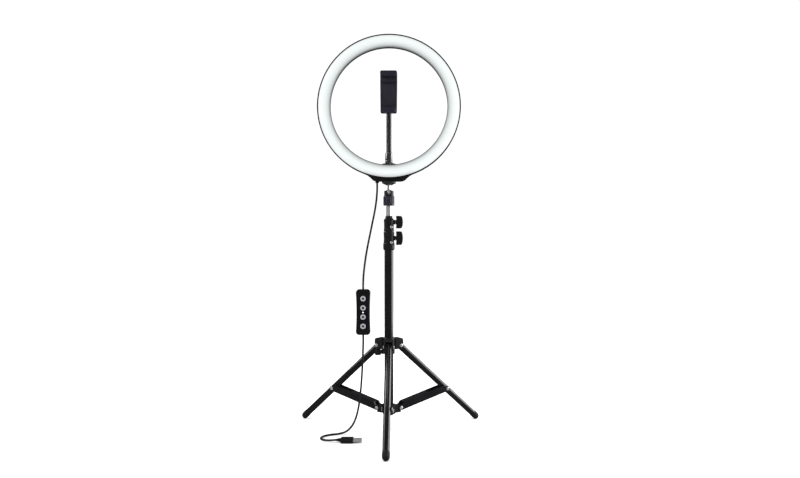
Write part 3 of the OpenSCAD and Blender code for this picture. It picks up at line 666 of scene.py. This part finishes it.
def cover_wall():
    """The front cover: a crescent between the ring's rim and the base's outline, rounded below."""
    half = 46.4 * MM
    side = [(0, -LOBE)] + sorted(
        (x, y) for x, y in lobe_outline() if x >= 0 and math.hypot(x, y) > RING_R - 0.1 * MM)

    def low(x):
        x = abs(x)
        for (x0, y0), (x1, y1) in zip(side, side[1:]):
            if x <= x1:
                return y0 + (y1 - y0) * (x - x0) / max(x1 - x0, 1e-9)
        return side[-1][1]

    verts, faces = [], []
    rows = 64
    back, front = -0.95 * MM, 7 * MM
    for i in range(rows + 1):
        x = -half * math.cos(math.pi * i / rows)
        top = -math.sqrt((RING_R + 0.15 * MM) ** 2 - x * x)
        deep = max(top - low(x), 0.12 * MM)
        bend = min(2.2 * MM, 0.8 * deep)
        section = [(top, back), (top, front)]
        section += [(top - deep + bend * (1 - math.sin(a)), front - bend * (1 - math.cos(a)))
                    for a in (math.radians(d) for d in range(0, 91, 18))]
        section.append((top - deep, back))
        verts += [ring_place(x, y, h) for y, h in section]
    n = len(section)
    for i in range(rows):
        for k in range(n):
            m = (k + 1) % n
            faces.append((i * n + k, i * n + m, (i + 1) * n + m, (i + 1) * n + k))
    faces.append(tuple(range(n)))
    faces.append(tuple(rows * n + k for k in reversed(range(n))))
    return verts, faces


cover = make("front_cover", "light", GLOSS_PLASTIC, *cover_wall(), slot="black_gloss_plastic")
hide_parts("base_cover")

# The board that carries the leds, inside the housing
board = make("board", "light", BOARD_WHITE, *rim_band(*BOARD_R, -6.5 * MM, -5 * MM, 0.3 * MM),
             slot="board_white")
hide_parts("led_board")

# ---- Flexible neck: a wound metal tube, made in three pieces ----
NECK_R = half_width("neck_lower")
NECK_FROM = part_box("neck_lower")[0].z + NECK_R
NECK_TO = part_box("neck_upper")[1].z
NECK_STEP = (NECK_TO - NECK_FROM) / 3
COIL_PITCH = 2.3 * MM
COIL_DEPTH = 0.75 * MM


def coil_wall(z0, z1, sides=40, per_turn=8):
    """The wound wall between two heights, closed at both ends."""
    rows = max(2, round((z1 - z0) / COIL_PITCH * per_turn))
    verts, faces = [], []
    for i in range(rows + 1):
        z = z0 + (z1 - z0) * i / rows
        for k in range(sides):
            a = 2 * math.pi * k / sides
            turn = (z / COIL_PITCH - k / sides) % 1
            r = NECK_R - COIL_DEPTH * abs(math.cos(math.pi * turn)) ** 5
            verts.append((r * math.cos(a), MAST_Y + r * math.sin(a), z))
    for i in range(rows):
        for k in range(sides):
            n = (k + 1) % sides
            faces.append((i * sides + k, i * sides + n, (i + 1) * sides + n, (i + 1) * sides + k))
    faces.append(tuple(reversed(range(sides))))
    faces.append(tuple(rows * sides + k for k in range(sides)))
    return verts, faces


neck_nodes = ["neck_lower", "neck_middle", "neck_upper"]
neck_cuts = [NECK_FROM - 3 * MM] + [NECK_FROM + NECK_STEP * (i + 0.5) for i in range(2)] + [NECK_TO]
for i, neck_node in enumerate(neck_nodes):
    wound = make("wound_" + neck_node, None, NECK_METAL, *coil_wall(neck_cuts[i], neck_cuts[i + 1]),
                 smooth=math.radians(60), slot="neck_coil")
    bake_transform(wound)
    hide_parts(neck_node)

FERRULE_LO, FERRULE_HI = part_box("neck_ferrule")
FERRULE_R = half_width("neck_ferrule")
SEAT_Z = FERRULE_HI.z - 18 * MM
# A plain collar with one groove around it: (depth, height, corner) in mm
ferrule_wall = [(FERRULE_R - d * MM, SEAT_Z + h * MM, c * MM) for d, h, c in (
    (0, 0.1, 0.4), (0, 3.4, 0.2), (0.35, 3.8, 0.2), (0.35, 4.4, 0.2), (0, 4.8, 0.2), (0, 18, 0.9))]
ferrule_outline = fillet([(NECK_R + 0.35 * MM, SEAT_Z + 0.1 * MM)] + ferrule_wall
                         + [(NECK_R + 0.35 * MM, FERRULE_HI.z, 0.3 * MM)], 3)
ferrule = make("ferrule", "light", DARK_CHROME, *joined(
    lathe(ferrule_outline, along_z(), 56),
    lathe([(2 * MM, FERRULE_LO.z), (4 * MM, FERRULE_LO.z), (4 * MM, SEAT_Z + 0.2 * MM),
           (NECK_R + 0.5 * MM, SEAT_Z + 0.2 * MM), (NECK_R + 0.5 * MM, SEAT_Z + 1 * MM),
           (2 * MM, SEAT_Z + 1 * MM)], along_z(), 32)), slot="steel")
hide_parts("neck_ferrule")

# ---- Phone holder ----
CLIP_LO, CLIP_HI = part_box("clip_back")
JAW_LO, JAW_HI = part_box("clip_jaw")
CLIP_W = CLIP_HI.x - CLIP_LO.x
CLIP_BOTTOM = CLIP_LO.z
JAW_TOP = JAW_HI.z
PLATE_BACK = MAST_Y - CLIP_HI.y
PLATE_FRONT = PLATE_BACK + 6 * MM
LIP_FRONT = MAST_Y - JAW_LO.y
LIP = 7.6 * MM
NOSE = 9.6 * MM


def soft_box(w, z0, z1, taper=0.0, corner=3 * MM, top=None):
    """A rounded outline in X and Z, narrower at its lower end by the taper."""
    top = corner if top is None else top
    return fillet([(-w / 2 + taper, z0, corner), (w / 2 - taper, z0, corner),
                   (w / 2, z1, top), (-w / 2, z1, top)], 5)


def grip_ribs(w, z, out):
    """The ribs of a rubber pad on a lip's inner face; out is +1 for upwards."""
    ribs = []
    for k in range(4):
        h = PLATE_FRONT + (1.6 + 2.3 * k) * MM
        low, high = sorted((z, z + out * 0.8 * MM))
        ribs.append(prism(soft_box(w, low, high, 0, 0.3 * MM), h, h + 1.3 * MM, towards_front(),
                          0.3 * MM, 0.3 * MM, 2))
    return ribs


front = towards_front()
back_clip = make("holder_back", "holder", JAW_PLASTIC, *joined(
    prism(soft_box(CLIP_W, CLIP_BOTTOM, CLIP_HI.z, 0.6 * MM, 3 * MM, 0.6 * MM), PLATE_BACK,
          PLATE_FRONT, front, 1.2 * MM, 0.9 * MM),
    prism(soft_box(CLIP_W - 5 * MM, CLIP_BOTTOM, CLIP_BOTTOM + LIP, 0.8 * MM), PLATE_BACK + 4 * MM,
          LIP_FRONT - 1.2 * MM, front, 0.2 * MM, 0.2 * MM),
    prism(soft_box(CLIP_W - 5 * MM, CLIP_BOTTOM, CLIP_BOTTOM + NOSE, 0.8 * MM), LIP_FRONT - 2.4 * MM,
          LIP_FRONT, front, 0.7 * MM, 1.2 * MM)), slot="black_plastic")
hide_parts("clip_back")
jaw_from = JAW_TOP - 20 * MM
jaw = make("holder_jaw", "jaw", JAW_PLASTIC, *joined(
    prism(soft_box(CLIP_W, jaw_from, JAW_TOP, 0, 0.6 * MM, 3 * MM), PLATE_BACK, PLATE_FRONT, front,
          1.2 * MM, 0.9 * MM),
    prism(soft_box(CLIP_W, JAW_TOP - LIP, JAW_TOP - 0.1 * MM, 0.4 * MM), PLATE_BACK + 4 * MM,
          LIP_FRONT - 1.2 * MM, front, 0.2 * MM, 0.2 * MM),
    prism(soft_box(CLIP_W, JAW_TOP - NOSE, JAW_TOP, 0.6 * MM), LIP_FRONT - 2.4 * MM, LIP_FRONT,
          front, 0.7 * MM, 1.2 * MM),
    prism(soft_box(18 * MM, JAW_LO.z, JAW_TOP - 5 * MM, 0, 0.8 * MM), PLATE_BACK + 1.7 * MM,
          PLATE_BACK + 4.2 * MM, front, 0.2 * MM, 0.2 * MM)), slot="black_plastic")
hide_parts("clip_jaw")
make("holder_pad", "holder", PAD_RUBBER, *joined(
    prism(soft_box(CLIP_W - 10 * MM, CLIP_BOTTOM + 10 * MM, CLIP_HI.z - 2.5 * MM, 0, 1.5 * MM),
          PLATE_FRONT - 0.3 * MM, PLATE_FRONT + 0.5 * MM, front, 0, 0.3 * MM, 2),
    *grip_ribs(CLIP_W - 9 * MM, CLIP_BOTTOM + 7.5 * MM, 1)), slot="rubber")
make("jaw_pad", "jaw", PAD_RUBBER, *joined(
    prism(soft_box(CLIP_W - 8 * MM, jaw_from + 2 * MM, JAW_TOP - 10.4 * MM, 0, 1.5 * MM),
          PLATE_FRONT - 0.3 * MM, PLATE_FRONT + 0.5 * MM, front, 0, 0.3 * MM, 2),
    *grip_ribs(CLIP_W - 9 * MM, JAW_TOP - 7.5 * MM, -1)), slot="rubber")

# ---- Mast clamps ----
COLUMN_BORE = half_width("column_tube") + 0.05 * MM
TOP_BORE = half_width("top_tube") + 0.05 * MM
LOWER_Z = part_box("lower_clamp")[0].z
UPPER_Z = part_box("upper_clamp")[0].z
BOLT_X = 5 * MM


def clamp_shell(z0, heights, bore):
    """A moulded sleeve; heights are (radius, height above z0, corner) in mm up its outer side."""
    outer = [(r * MM, z0 + h * MM, c * MM) for r, h, c in heights]
    return lathe(fillet([(bore, z0 + heights[0][1] * MM)] + outer
                        + [(bore, z0 + heights[-1][1] * MM)], 4), along_z(), 56)


def boss(z):
    """The boss that the knob's screw goes into."""
    return solid_lathe(mm((2.7, 5), (4.2, 5), (4.2, 11.3), (3.7, 11.8), (2.7, 11.8)),
                       along_x(z=z), 32)


def bolt_lug(z):
    """The lug that the clamp's bolt goes into."""
    return solid_lathe(mm((1.6, 4), (3.7, 4), (3.7, 10.3), (3.2, 10.8), (1.6, 10.8)),
                       towards_front(BOLT_X, z=z), 28)


LOWER_SCREW_Z = mid("lower_clamp_knob").z
UPPER_SCREW_Z = mid("upper_clamp_knob").z
LOWER_BOLT_Z = mid("lower_clamp_bolt").z
UPPER_BOLT_Z = mid("upper_clamp_bolt").z
lower_clamp = make("lower_sleeve", "column", BLACK_PLASTIC, *joined(
    clamp_shell(LOWER_Z, [(9.1, 0, 0.5), (10.35, 2.6, 0.9), (10.35, 11.2, 0.9), (9.5, 13, 0.8),
                          (9.1, 22, 2), (9.6, 30, 0.8), (9.6, 33, 0.9)], COLUMN_BORE),
    boss(LOWER_SCREW_Z), bolt_lug(LOWER_BOLT_Z)), slot="black_plastic")
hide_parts("lower_clamp")
upper_clamp = make("upper_sleeve", "middle_section", BLACK_PLASTIC, *joined(
    clamp_shell(UPPER_Z, [(9.2, 0, 0.6), (9.2, 4, 0.8), (8.7, 6, 0.8), (8.9, 14, 2),
                          (9.2, 21.4, 1.0), (6.4, 25.0, 1.2), (6.0, 28.7, 0.7)], TOP_BORE),
    boss(UPPER_SCREW_Z), bolt_lug(UPPER_BOLT_Z)), slot="black_plastic")
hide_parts("upper_clamp")


def bolt(name, body, node, z):
    """A pan-headed bolt with a dimple in its head, and its shank."""
    place = towards_front(BOLT_X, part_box(node)[0].y + 1.8 * MM, z)
    piece = make(name, body, STEEL, *joined(
        solid_lathe(mm((0.9, 0), (2.5, 0), (2.5, 0.9), (2.1, 1.5), (1.3, 1.8), (0.75, 1.8),
                       (0.5, 1.0)), place, 32),
        solid_lathe(mm((0.5, -3.4), (1.5, -3.4), (1.5, 0.1), (0.5, 0.1)), place, 20)),
        slot="steel")
    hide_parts(node)


bolt("lower_bolt", "column", "lower_clamp_bolt", LOWER_BOLT_Z)
bolt("upper_bolt", "middle_section", "upper_clamp_bolt", UPPER_BOLT_Z)


def wing_outline(length, x0, x1):
    """The knob seen from the front: a straight inner side, and a bowed outer side."""
    half = length / 2
    side = [Vector((x, z, 0)) for x, z in (
        (x0 + 0.9 * MM, 0), (x0 + 0.5 * MM, half * 0.5), (x0, half - 1.2 * MM))]
    top = [Vector((x, z, 0)) for x, z in (
        (x0 + 1.2 * MM, half), (x0 + 5 * MM, half), (x1 - 3.1 * MM, half - 0.3 * MM),
        (x1 - 1.9 * MM, half - 1.5 * MM), (x1 - 0.5 * MM, half * 0.5), (x1, 0))]
    line = [(p.x, p.y) for p in catmull(side + top, 3)]
    return line + [(x, -z) for x, z in reversed(line[1:-1])]


def wing(name, body, node, z, length):
    """A T-shaped knob with its screw, which ends inside the clamp."""
    lo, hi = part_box(node)
    piece = make(name, body, BLACK_PLASTIC, *joined(
        prism(wing_outline(length, 12.9 * MM, hi.x), -4.1 * MM, 4.1 * MM, towards_front(z=z),
              1.2 * MM, 1.2 * MM),
        solid_lathe(mm((1, 12.1), (4.4, 12.1), (4.4, 15.4), (1, 15.4)), along_x(z=z), 32)),
        slot="black_plastic")
    make(name + "_screw", body, STEEL, *solid_lathe(
        [(1 * MM, lo.x), (2.4 * MM, lo.x + 0.3 * MM)] + mm((2.4, 13), (1, 13)),
        along_x(z=z), 28), slot="steel")
    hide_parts(node)


wing("lower_wing", "lower_knob", "lower_clamp_knob", LOWER_SCREW_Z, 24.6 * MM)
wing("upper_wing", "upper_knob", "upper_clamp_knob", UPPER_SCREW_Z, 22.6 * MM)

# ---- Ball head ----
LOCK_LO, LOCK_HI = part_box("lock_ring")
LOCK_R = half_width("lock_ring")


def fluted_sleeve(z0, z1, bore):
    """A sleeve whose outer wall is fluted between two plain beads."""
    n = 200
    flutes = lambda a: LOCK_R - 0.75 * MM * (0.5 - 0.5 * math.cos(20 * a)) ** 1.6
    rows = [(bore, z0), (LOCK_R - 0.9 * MM, z0), (LOCK_R - 0.3 * MM, z0 + 0.5 * MM),
            (LOCK_R - 0.3 * MM, z0 + 1.7 * MM), (flutes, z0 + 2.4 * MM), (flutes, z1 - 1.9 * MM),
            (LOCK_R - 0.5 * MM, z1 - 1.2 * MM), (LOCK_R - 1.1 * MM, z1), (bore, z1)]
    verts, faces = [], []
    for radius, z in rows:
        verts += [(x, MAST_Y + y, z) for x, y in round_outline(radius, n)]
    for i in range(len(rows)):
        m = (i + 1) % len(rows)
        for k in range(n):
            j = (k + 1) % n
            faces.append((i * n + k, i * n + j, m * n + j, m * n + k))
    return verts, faces


sleeve = make("fluted_ring", "lock", LOCK_PLASTIC, *fluted_sleeve(LOCK_LO.z, LOCK_HI.z, 7.9 * MM),
              slot="black_plastic")
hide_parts("lock_ring")
PLAT_LO, PLAT_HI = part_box("head_platform")
PLAT_R = half_width("head_platform")
platform = make("platform", "light", HUB_PLASTIC, *lathe(fillet([
    (3.3 * MM, PLAT_LO.z), (4.8 * MM, PLAT_LO.z, 0.5 * MM),
    (PLAT_R - 2.2 * MM, PLAT_LO.z + 2.7 * MM, 2 * MM), (PLAT_R, PLAT_LO.z + 3.5 * MM, 0.4 * MM),
    (PLAT_R, PLAT_HI.z - 0.02 * MM, 0.5 * MM),
    (3.3 * MM, PLAT_HI.z - 0.02 * MM)], 3), along_z(), 72), slot="black_plastic")
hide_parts("head_platform")

# ---- Stand ----
KNOB_AZIMUTH = 210
PIVOT_R = 21 * MM
LEG_R = 6 * MM


def about_mast(azimuth):
    """Maps (outward, sideways, up) to the row frame."""
    c, s = math.cos(math.radians(azimuth)), math.sin(math.radians(azimuth))
    return lambda r, t, h: (r * c - t * s, MAST_Y + r * s + t * c, h)


def dome(place, x, z, side, r, rise, stand):
    """A rivet's domed head on an arm's side; side is +1 or -1 across the arm."""
    profile = [(0.15 * r, stand - 1.2 * MM), (r, stand - 1.2 * MM), (r, stand)]
    profile += [(r * math.cos(a), stand + rise * math.sin(a))
                for a in (math.radians(d) for d in (15, 32, 50, 70, 84))]
    return solid_lathe(profile, lambda u, v, h: place(x + u, side * h, z + v), 28)


def pin(place, x, z, r, half):
    """A rivet's shank, through both sides of an arm."""
    return solid_lathe(rectangle(0.3 * r, r, -half, half),
                       lambda u, v, h: place(x + u, h, z + v), 24)


def hub_rivets(z, half, radius, rise, gap):
    """The three pins through a hub's arms, each with two domed heads."""
    shells = []
    for azimuth in LEGS.values():
        place = about_mast(azimuth)
        shells.append(pin(place, PIVOT_R, z, 2 * MM, half))
        shells += [dome(place, PIVOT_R, z, side, radius, rise, half + gap) for side in (-1, 1)]
    return joined(*shells)


HUB_LO, HUB_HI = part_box("leg_hub")
HUB_PIN_Z = mid("leg_hub_pins").z
BRACE_PIN_Z = mid("brace_hub_pins").z
ARM_ROOT = 8.6 * MM
ARM_END = 25.5 * MM
ARM_HALF = 9 * MM
ARM_BOTTOM = HUB_LO.z + 8 * MM
ARM_TOP = HUB_HI.z - 1.5 * MM
SLOT_HALF = 6.3 * MM
SLOT_TOP = HUB_PIN_Z + 9.2 * MM


def arm(azimuth):
    """A forked arm: two cheeks, with a roof and a back wall between them."""
    place = about_mast(azimuth)
    side_view = fillet([
        (ARM_ROOT, ARM_BOTTOM), (ARM_END - 2.6 * MM, ARM_BOTTOM, 1.0 * MM),
        (ARM_END, ARM_BOTTOM + 3 * MM, 1.6 * MM), (ARM_END, ARM_TOP, 4.2 * MM),
        (ARM_ROOT, ARM_TOP)], 6)
    cheek = lambda side: prism(
        side_view, SLOT_HALF, ARM_HALF, lambda u, v, h: place(u, side * h, v), 0, 1.1 * MM)
    across = lambda outline: prism(outline, -SLOT_HALF - 0.3 * MM, SLOT_HALF + 0.3 * MM,
                                   lambda u, v, h: place(u, h, v))
    roof = across([
        (9 * MM, SLOT_TOP + 0.3 * MM), (ARM_END - 0.5 * MM, SLOT_TOP + 0.3 * MM),
        (ARM_END - 0.9 * MM, SLOT_TOP + 1.6 * MM), (ARM_END - 3 * MM, ARM_TOP - 0.3 * MM),
        (9 * MM, ARM_TOP - 0.3 * MM)])
    back = across([(9 * MM, ARM_BOTTOM), (13 * MM, ARM_BOTTOM), (13 * MM, SLOT_TOP + 0.5 * MM),
                   (9 * MM, SLOT_TOP + 0.5 * MM)])
    return [cheek(1), cheek(-1), roof, back]


hub_sleeve = lathe(fillet([
    (COLUMN_BORE, HUB_LO.z), (10.6 * MM, HUB_LO.z, 0.8 * MM),
    (10.6 * MM, HUB_HI.z - 1.6 * MM, 0.5 * MM), (9.6 * MM, HUB_HI.z, 0.6 * MM),
    (COLUMN_BORE, HUB_HI.z)], 3), along_z(), 64)
knob_dir = about_mast(KNOB_AZIMUTH)
HUB_KNOB_Z = mid("leg_hub_knob").z


def along_knob(u, v, h):
    """Heights run out from the mast along the hub's knob."""
    return knob_dir(h, u, HUB_KNOB_Z + v)


hub_boss = solid_lathe(mm((2.7, 9), (4.5, 9), (4.5, 13.9), (3.9, 14.5), (2.7, 14.5)),
                       along_knob, 36)
hub = make("leg_collar", "leg_collar", HUB_PLASTIC,
           *joined(hub_sleeve, hub_boss, *(piece for a in LEGS.values() for piece in arm(a))),
           slot="black_plastic")
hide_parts("leg_hub")
collar_rivets = make("collar_rivets", "leg_collar", STEEL,
                     *hub_rivets(HUB_PIN_Z, ARM_HALF, 3.2 * MM, 0.95 * MM, 0.3 * MM), slot="steel")
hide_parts("leg_hub_pins")

# The small knob under the left arm: a ribbed grip on its screw
grip = round_outline(lambda a: 5.8 * MM - 0.45 * MM * (0.5 + 0.5 * math.cos(12 * a)) ** 2, 72)
small_knob = make("collar_grip", "collar_knob", BLACK_PLASTIC, *joined(
    prism(grip, 18 * MM, 27.1 * MM, along_knob, 0.7 * MM, 1.1 * MM),
    solid_lathe(mm((0.8, 8.5), (2.4, 9), (2.4, 18.5), (0.8, 18.5)), along_knob, 24)),
    slot="black_plastic")
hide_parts("leg_hub_knob")

BRACE_HALF = 8.3 * MM
brace_rivets = make("spreader_rivets", "column", STEEL,
                    *hub_rivets(BRACE_PIN_Z, BRACE_HALF, 3.3 * MM, 0.8 * MM, 0.5 * MM), slot="steel")
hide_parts("brace_hub_pins")

FOOT_R = 6.5 * MM
DOME_R = 6.27 * MM


def down_leg(place, slope):
    """Heights run down a leg from its pivot; place is about_mast's, slope is from the vertical."""
    out, down = math.sin(slope), -math.cos(slope)
    return lambda u, v, h: place(PIVOT_R + out * h + down * u, v, HUB_PIN_Z + down * h - out * u)


def stub(place, reach, z, side):
    """The outer rivet in one of the brace's cheeks: its head, and its short shank."""
    shank = rectangle(0.5 * MM, 2 * MM, BRACE_HALF - 1.2 * MM, BRACE_HALF)
    return [dome(place, reach, z, side, 3.3 * MM, 0.8 * MM, BRACE_HALF + 0.2 * MM),
            solid_lathe(shank, lambda u, v, h: place(reach + u, side * h, z + v), 20)]


for name, azimuth in LEGS.items():
    place = about_mast(azimuth)
    # The leg's end and the brace's rivet follow from the parts' own boxes
    lo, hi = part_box("foot_" + name)
    rivet = mid("rivets_" + name)
    reach = math.hypot(rivet.x, rivet.y - MAST_Y)
    slope = math.atan2(reach - PIVOT_R, HUB_PIN_Z - rivet.z)
    length = (HUB_PIN_Z - (lo.z + FOOT_R - 0.2 * MM)) / math.cos(slope)
    along = down_leg(place, slope)
    tube = fillet([(5 * MM, -4 * MM), (LEG_R, -4 * MM, 0.4 * MM), (LEG_R, length - 2.2 * MM, 0.3 * MM),
                   (5 * MM, length - 2.2 * MM)], 3)
    leg = make("tube_" + name, "leg_" + name + "_body", BLACK_COAT, *lathe(tube, along, 64),
               slot="black_powder_coat")
    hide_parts("leg_" + name)
    cap = [(1 * MM, length - 3 * MM), (5 * MM, length - 3 * MM), (LEG_R + 0.05 * MM, length - 2.9 * MM),
           (LEG_R + 0.05 * MM, length - 8.9 * MM), (FOOT_R - 0.25 * MM, length - 8.9 * MM),
           (FOOT_R, length - 8.4 * MM), (FOOT_R, length - 1.6 * MM)]
    cap += [(DOME_R * math.cos(a), length + DOME_R * math.sin(a))
            for a in (math.radians(d) for d in range(2, 90, 8))]
    boot = make("cap_" + name, "leg_" + name + "_body", RUBBER,
                *solid_lathe(cap + [(0.2 * MM, length + DOME_R)], along, 48), slot="rubber")
    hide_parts("foot_" + name)
    rivets = make("outer_rivets_" + name, "brace_" + name + "_body", STEEL, *joined(
        *stub(place, reach, rivet.z, -1), *stub(place, reach, rivet.z, 1)), slot="steel")
    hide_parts("rivets_" + name)

# ---- Controller ----
CTRL_LO, CTRL_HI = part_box("controller_front")
CTRL_X, _, CTRL_Z = mid("controller_front")
CTRL_W = CTRL_HI.x - CTRL_LO.x
CTRL_H = CTRL_HI.z - CTRL_LO.z
CTRL_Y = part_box("controller_back")[0].y
CTRL_T = 6 * MM
ctrl = towards_front(CTRL_X, CTRL_Y, CTRL_Z)


def waisted():
    """The controller's outline, anticlockwise: rounded ends, sides drawn in to a slight waist."""
    corner = 6 * MM
    reach = CTRL_H / 2 - corner
    side = [(CTRL_W / 2 - 1.1 * MM * (1 - (k / 12) ** 2), reach * k / 12) for k in range(-12, 13)]
    top = [(CTRL_W / 2 - corner + corner * math.cos(a), reach + corner * math.sin(a))
           for a in (math.radians(d) for d in range(10, 91, 10))]
    right = side + top
    return (right + [(-x, z) for x, z in reversed(right)]
            + [(-x, -z) for x, z in top] + [(x, -z) for x, z in reversed(top)])


outline = waisted()
FACE_EDGE = 2.2 * MM
KEY_BORE_R = 5.1 * MM
KEY_BORE_DEPTH = 3.2 * MM
KEY_SIDES = 40
KEY_PLACES = [Vector((0, mid("button_" + part).z - CTRL_Z)) for part in KEYS]


def bored(shape, rim, centres):
    """Opens a blind round bore for each key in the prism's last face, whose outline is rim."""
    verts, faces = list(shape[0]), list(shape[1][:-1])
    points, edges = [Vector(p) for p in rim], []
    for centre in centres:
        circle = [centre + Vector(p) for p in round_outline(KEY_BORE_R, KEY_SIDES)]
        after = [(k + 1) % KEY_SIDES for k in range(KEY_SIDES)]
        edges += [(len(points) + k, len(points) + j) for k, j in enumerate(after)]
        points += circle
        top = len(verts)
        floor = top + KEY_SIDES
        verts += [ctrl(p.x, p.y, CTRL_T) for p in circle]
        verts += [ctrl(p.x, p.y, CTRL_T - KEY_BORE_DEPTH) for p in circle]
        faces += [(top + k, top + j, floor + j, floor + k) for k, j in enumerate(after)]
        faces.append(tuple(range(floor, floor + KEY_SIDES)))
    flat, _, triangles = delaunay_2d_cdt(points, edges, [list(range(len(rim)))], 1, 1e-7)[:3]
    start = len(verts)
    verts += [ctrl(p.x, p.y, CTRL_T) for p in flat]
    for triangle in triangles:
        middle = sum((flat[i] for i in triangle), Vector((0, 0))) / 3
        if all((middle - centre).length > KEY_BORE_R * 0.995 for centre in centres):
            faces.append(tuple(start + i for i in triangle))
    return verts, faces


front_half = make("controller_face", "head_base", GLOSS_PLASTIC, *bored(
    prism(outline, 0.02 * MM, CTRL_T, ctrl, 0.25 * MM, FACE_EDGE, 4),
    offset(outline, FACE_EDGE), KEY_PLACES), slot="black_gloss_plastic")
back_half = make("controller_rear", "head_base", GLOSS_PLASTIC, *prism(
    outline, -CTRL_T, -0.06 * MM, ctrl, 2.0 * MM, 0.25 * MM, 4), slot="black_gloss_plastic")
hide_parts("controller_front")
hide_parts("controller_back")
rims = []
for part in KEYS:
    # Heights are from the controller's face
    at = towards_front(CTRL_X, CTRL_Y - CTRL_T, mid("button_" + part).z)
    rims.append(lathe(mm((4.9, -0.6), (5.5, -0.6), (5.4, 0.14), (5.0, 0.14)), at, KEY_SIDES))
    dish = mm((1, -2), (4.8, -2), (4.8, 0.55), (4.65, 0.82), (4.3, 0.97), (3.9, 0.97),
              (3.3, 0.78), (2, 0.70), (0.3, 0.68))
    body = "button_" + part + "_body"
    key = make("key_" + part, body, BUTTON, *solid_lathe(dish, at, KEY_SIDES), slot="button_grey")
    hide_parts("button_" + part)
    make("key_mark_" + part, body, BUTTON_MARK, *solid_lathe(
        mm((0.3, 0.5), (2.2, 0.5), (2.2, 0.80), (0.3, 0.84)), at, 28), slot="black_plastic")
make("controller_rims", "head_base", GLOSS_PLASTIC, *joined(*rims), slot="black_gloss_plastic")

# ---- USB plug, lying on the floor ----
PLUG_LO, PLUG_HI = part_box("usb_body")
SHELL_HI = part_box("usb_shell")[1]
PLUG_MID = mid("usb_body")
PLUG_W = (PLUG_HI.y - PLUG_LO.y) / 2
PLUG_T = (PLUG_HI.z - PLUG_LO.z) / 2
GRIP_TO = PLUG_HI.x - PLUG_LO.x
TONGUE_TO = SHELL_HI.x - PLUG_LO.x - 2.2 * MM
# Heights are from the end where the cord comes in
plug = along_x(PLUG_LO.x, PLUG_MID.y, PLUG_MID.z)
relief = mm((0.6, 0))
for k in range(4):
    x, r = 1.85 * k, 2.25 + 0.38 * k
    relief += mm((r - 0.1, x + 0.05), (r + 0.15, x + 0.35), (r + 0.2, x + 1.15),
                 (r - 0.35, x + 1.35), (r - 0.35, x + 1.75))
relief += mm((3.4, 7.5), (3.4, 8.1), (0.6, 8.1))
section = [(u * 0.985, v * 0.93) for u, v in rectangle(-PLUG_W, PLUG_W, -PLUG_T, PLUG_T, 2.4 * MM)]
ridges = [prism(rectangle(-PLUG_W + 3 * MM, PLUG_W - 3 * MM,
                          side * (PLUG_T - 0.5 * MM), side * (PLUG_T - 0.02 * MM)),
                (11.6 + 2.4 * k) * MM, (12.8 + 2.4 * k) * MM, plug)
          for k in range(4) for side in (-1, 1)]
plug_body = make("plug_grip", "head_base", RUBBER, *joined(
    solid_lathe(relief, plug, 32), prism(section, 7.6 * MM, GRIP_TO, plug, 1.4 * MM, 0.7 * MM),
    *ridges), slot="rubber")
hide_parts("usb_body")
plug_tongue = make("plug_tongue", "head_base", TONGUE, *prism(
    mm((-5.3, -1.5), (5.3, -1.5), (5.3, 0.1), (-5.3, 0.1)), GRIP_TO - 1 * MM, TONGUE_TO, plug,
    0.1 * MM, 0.2 * MM, 2), slot="board_white")
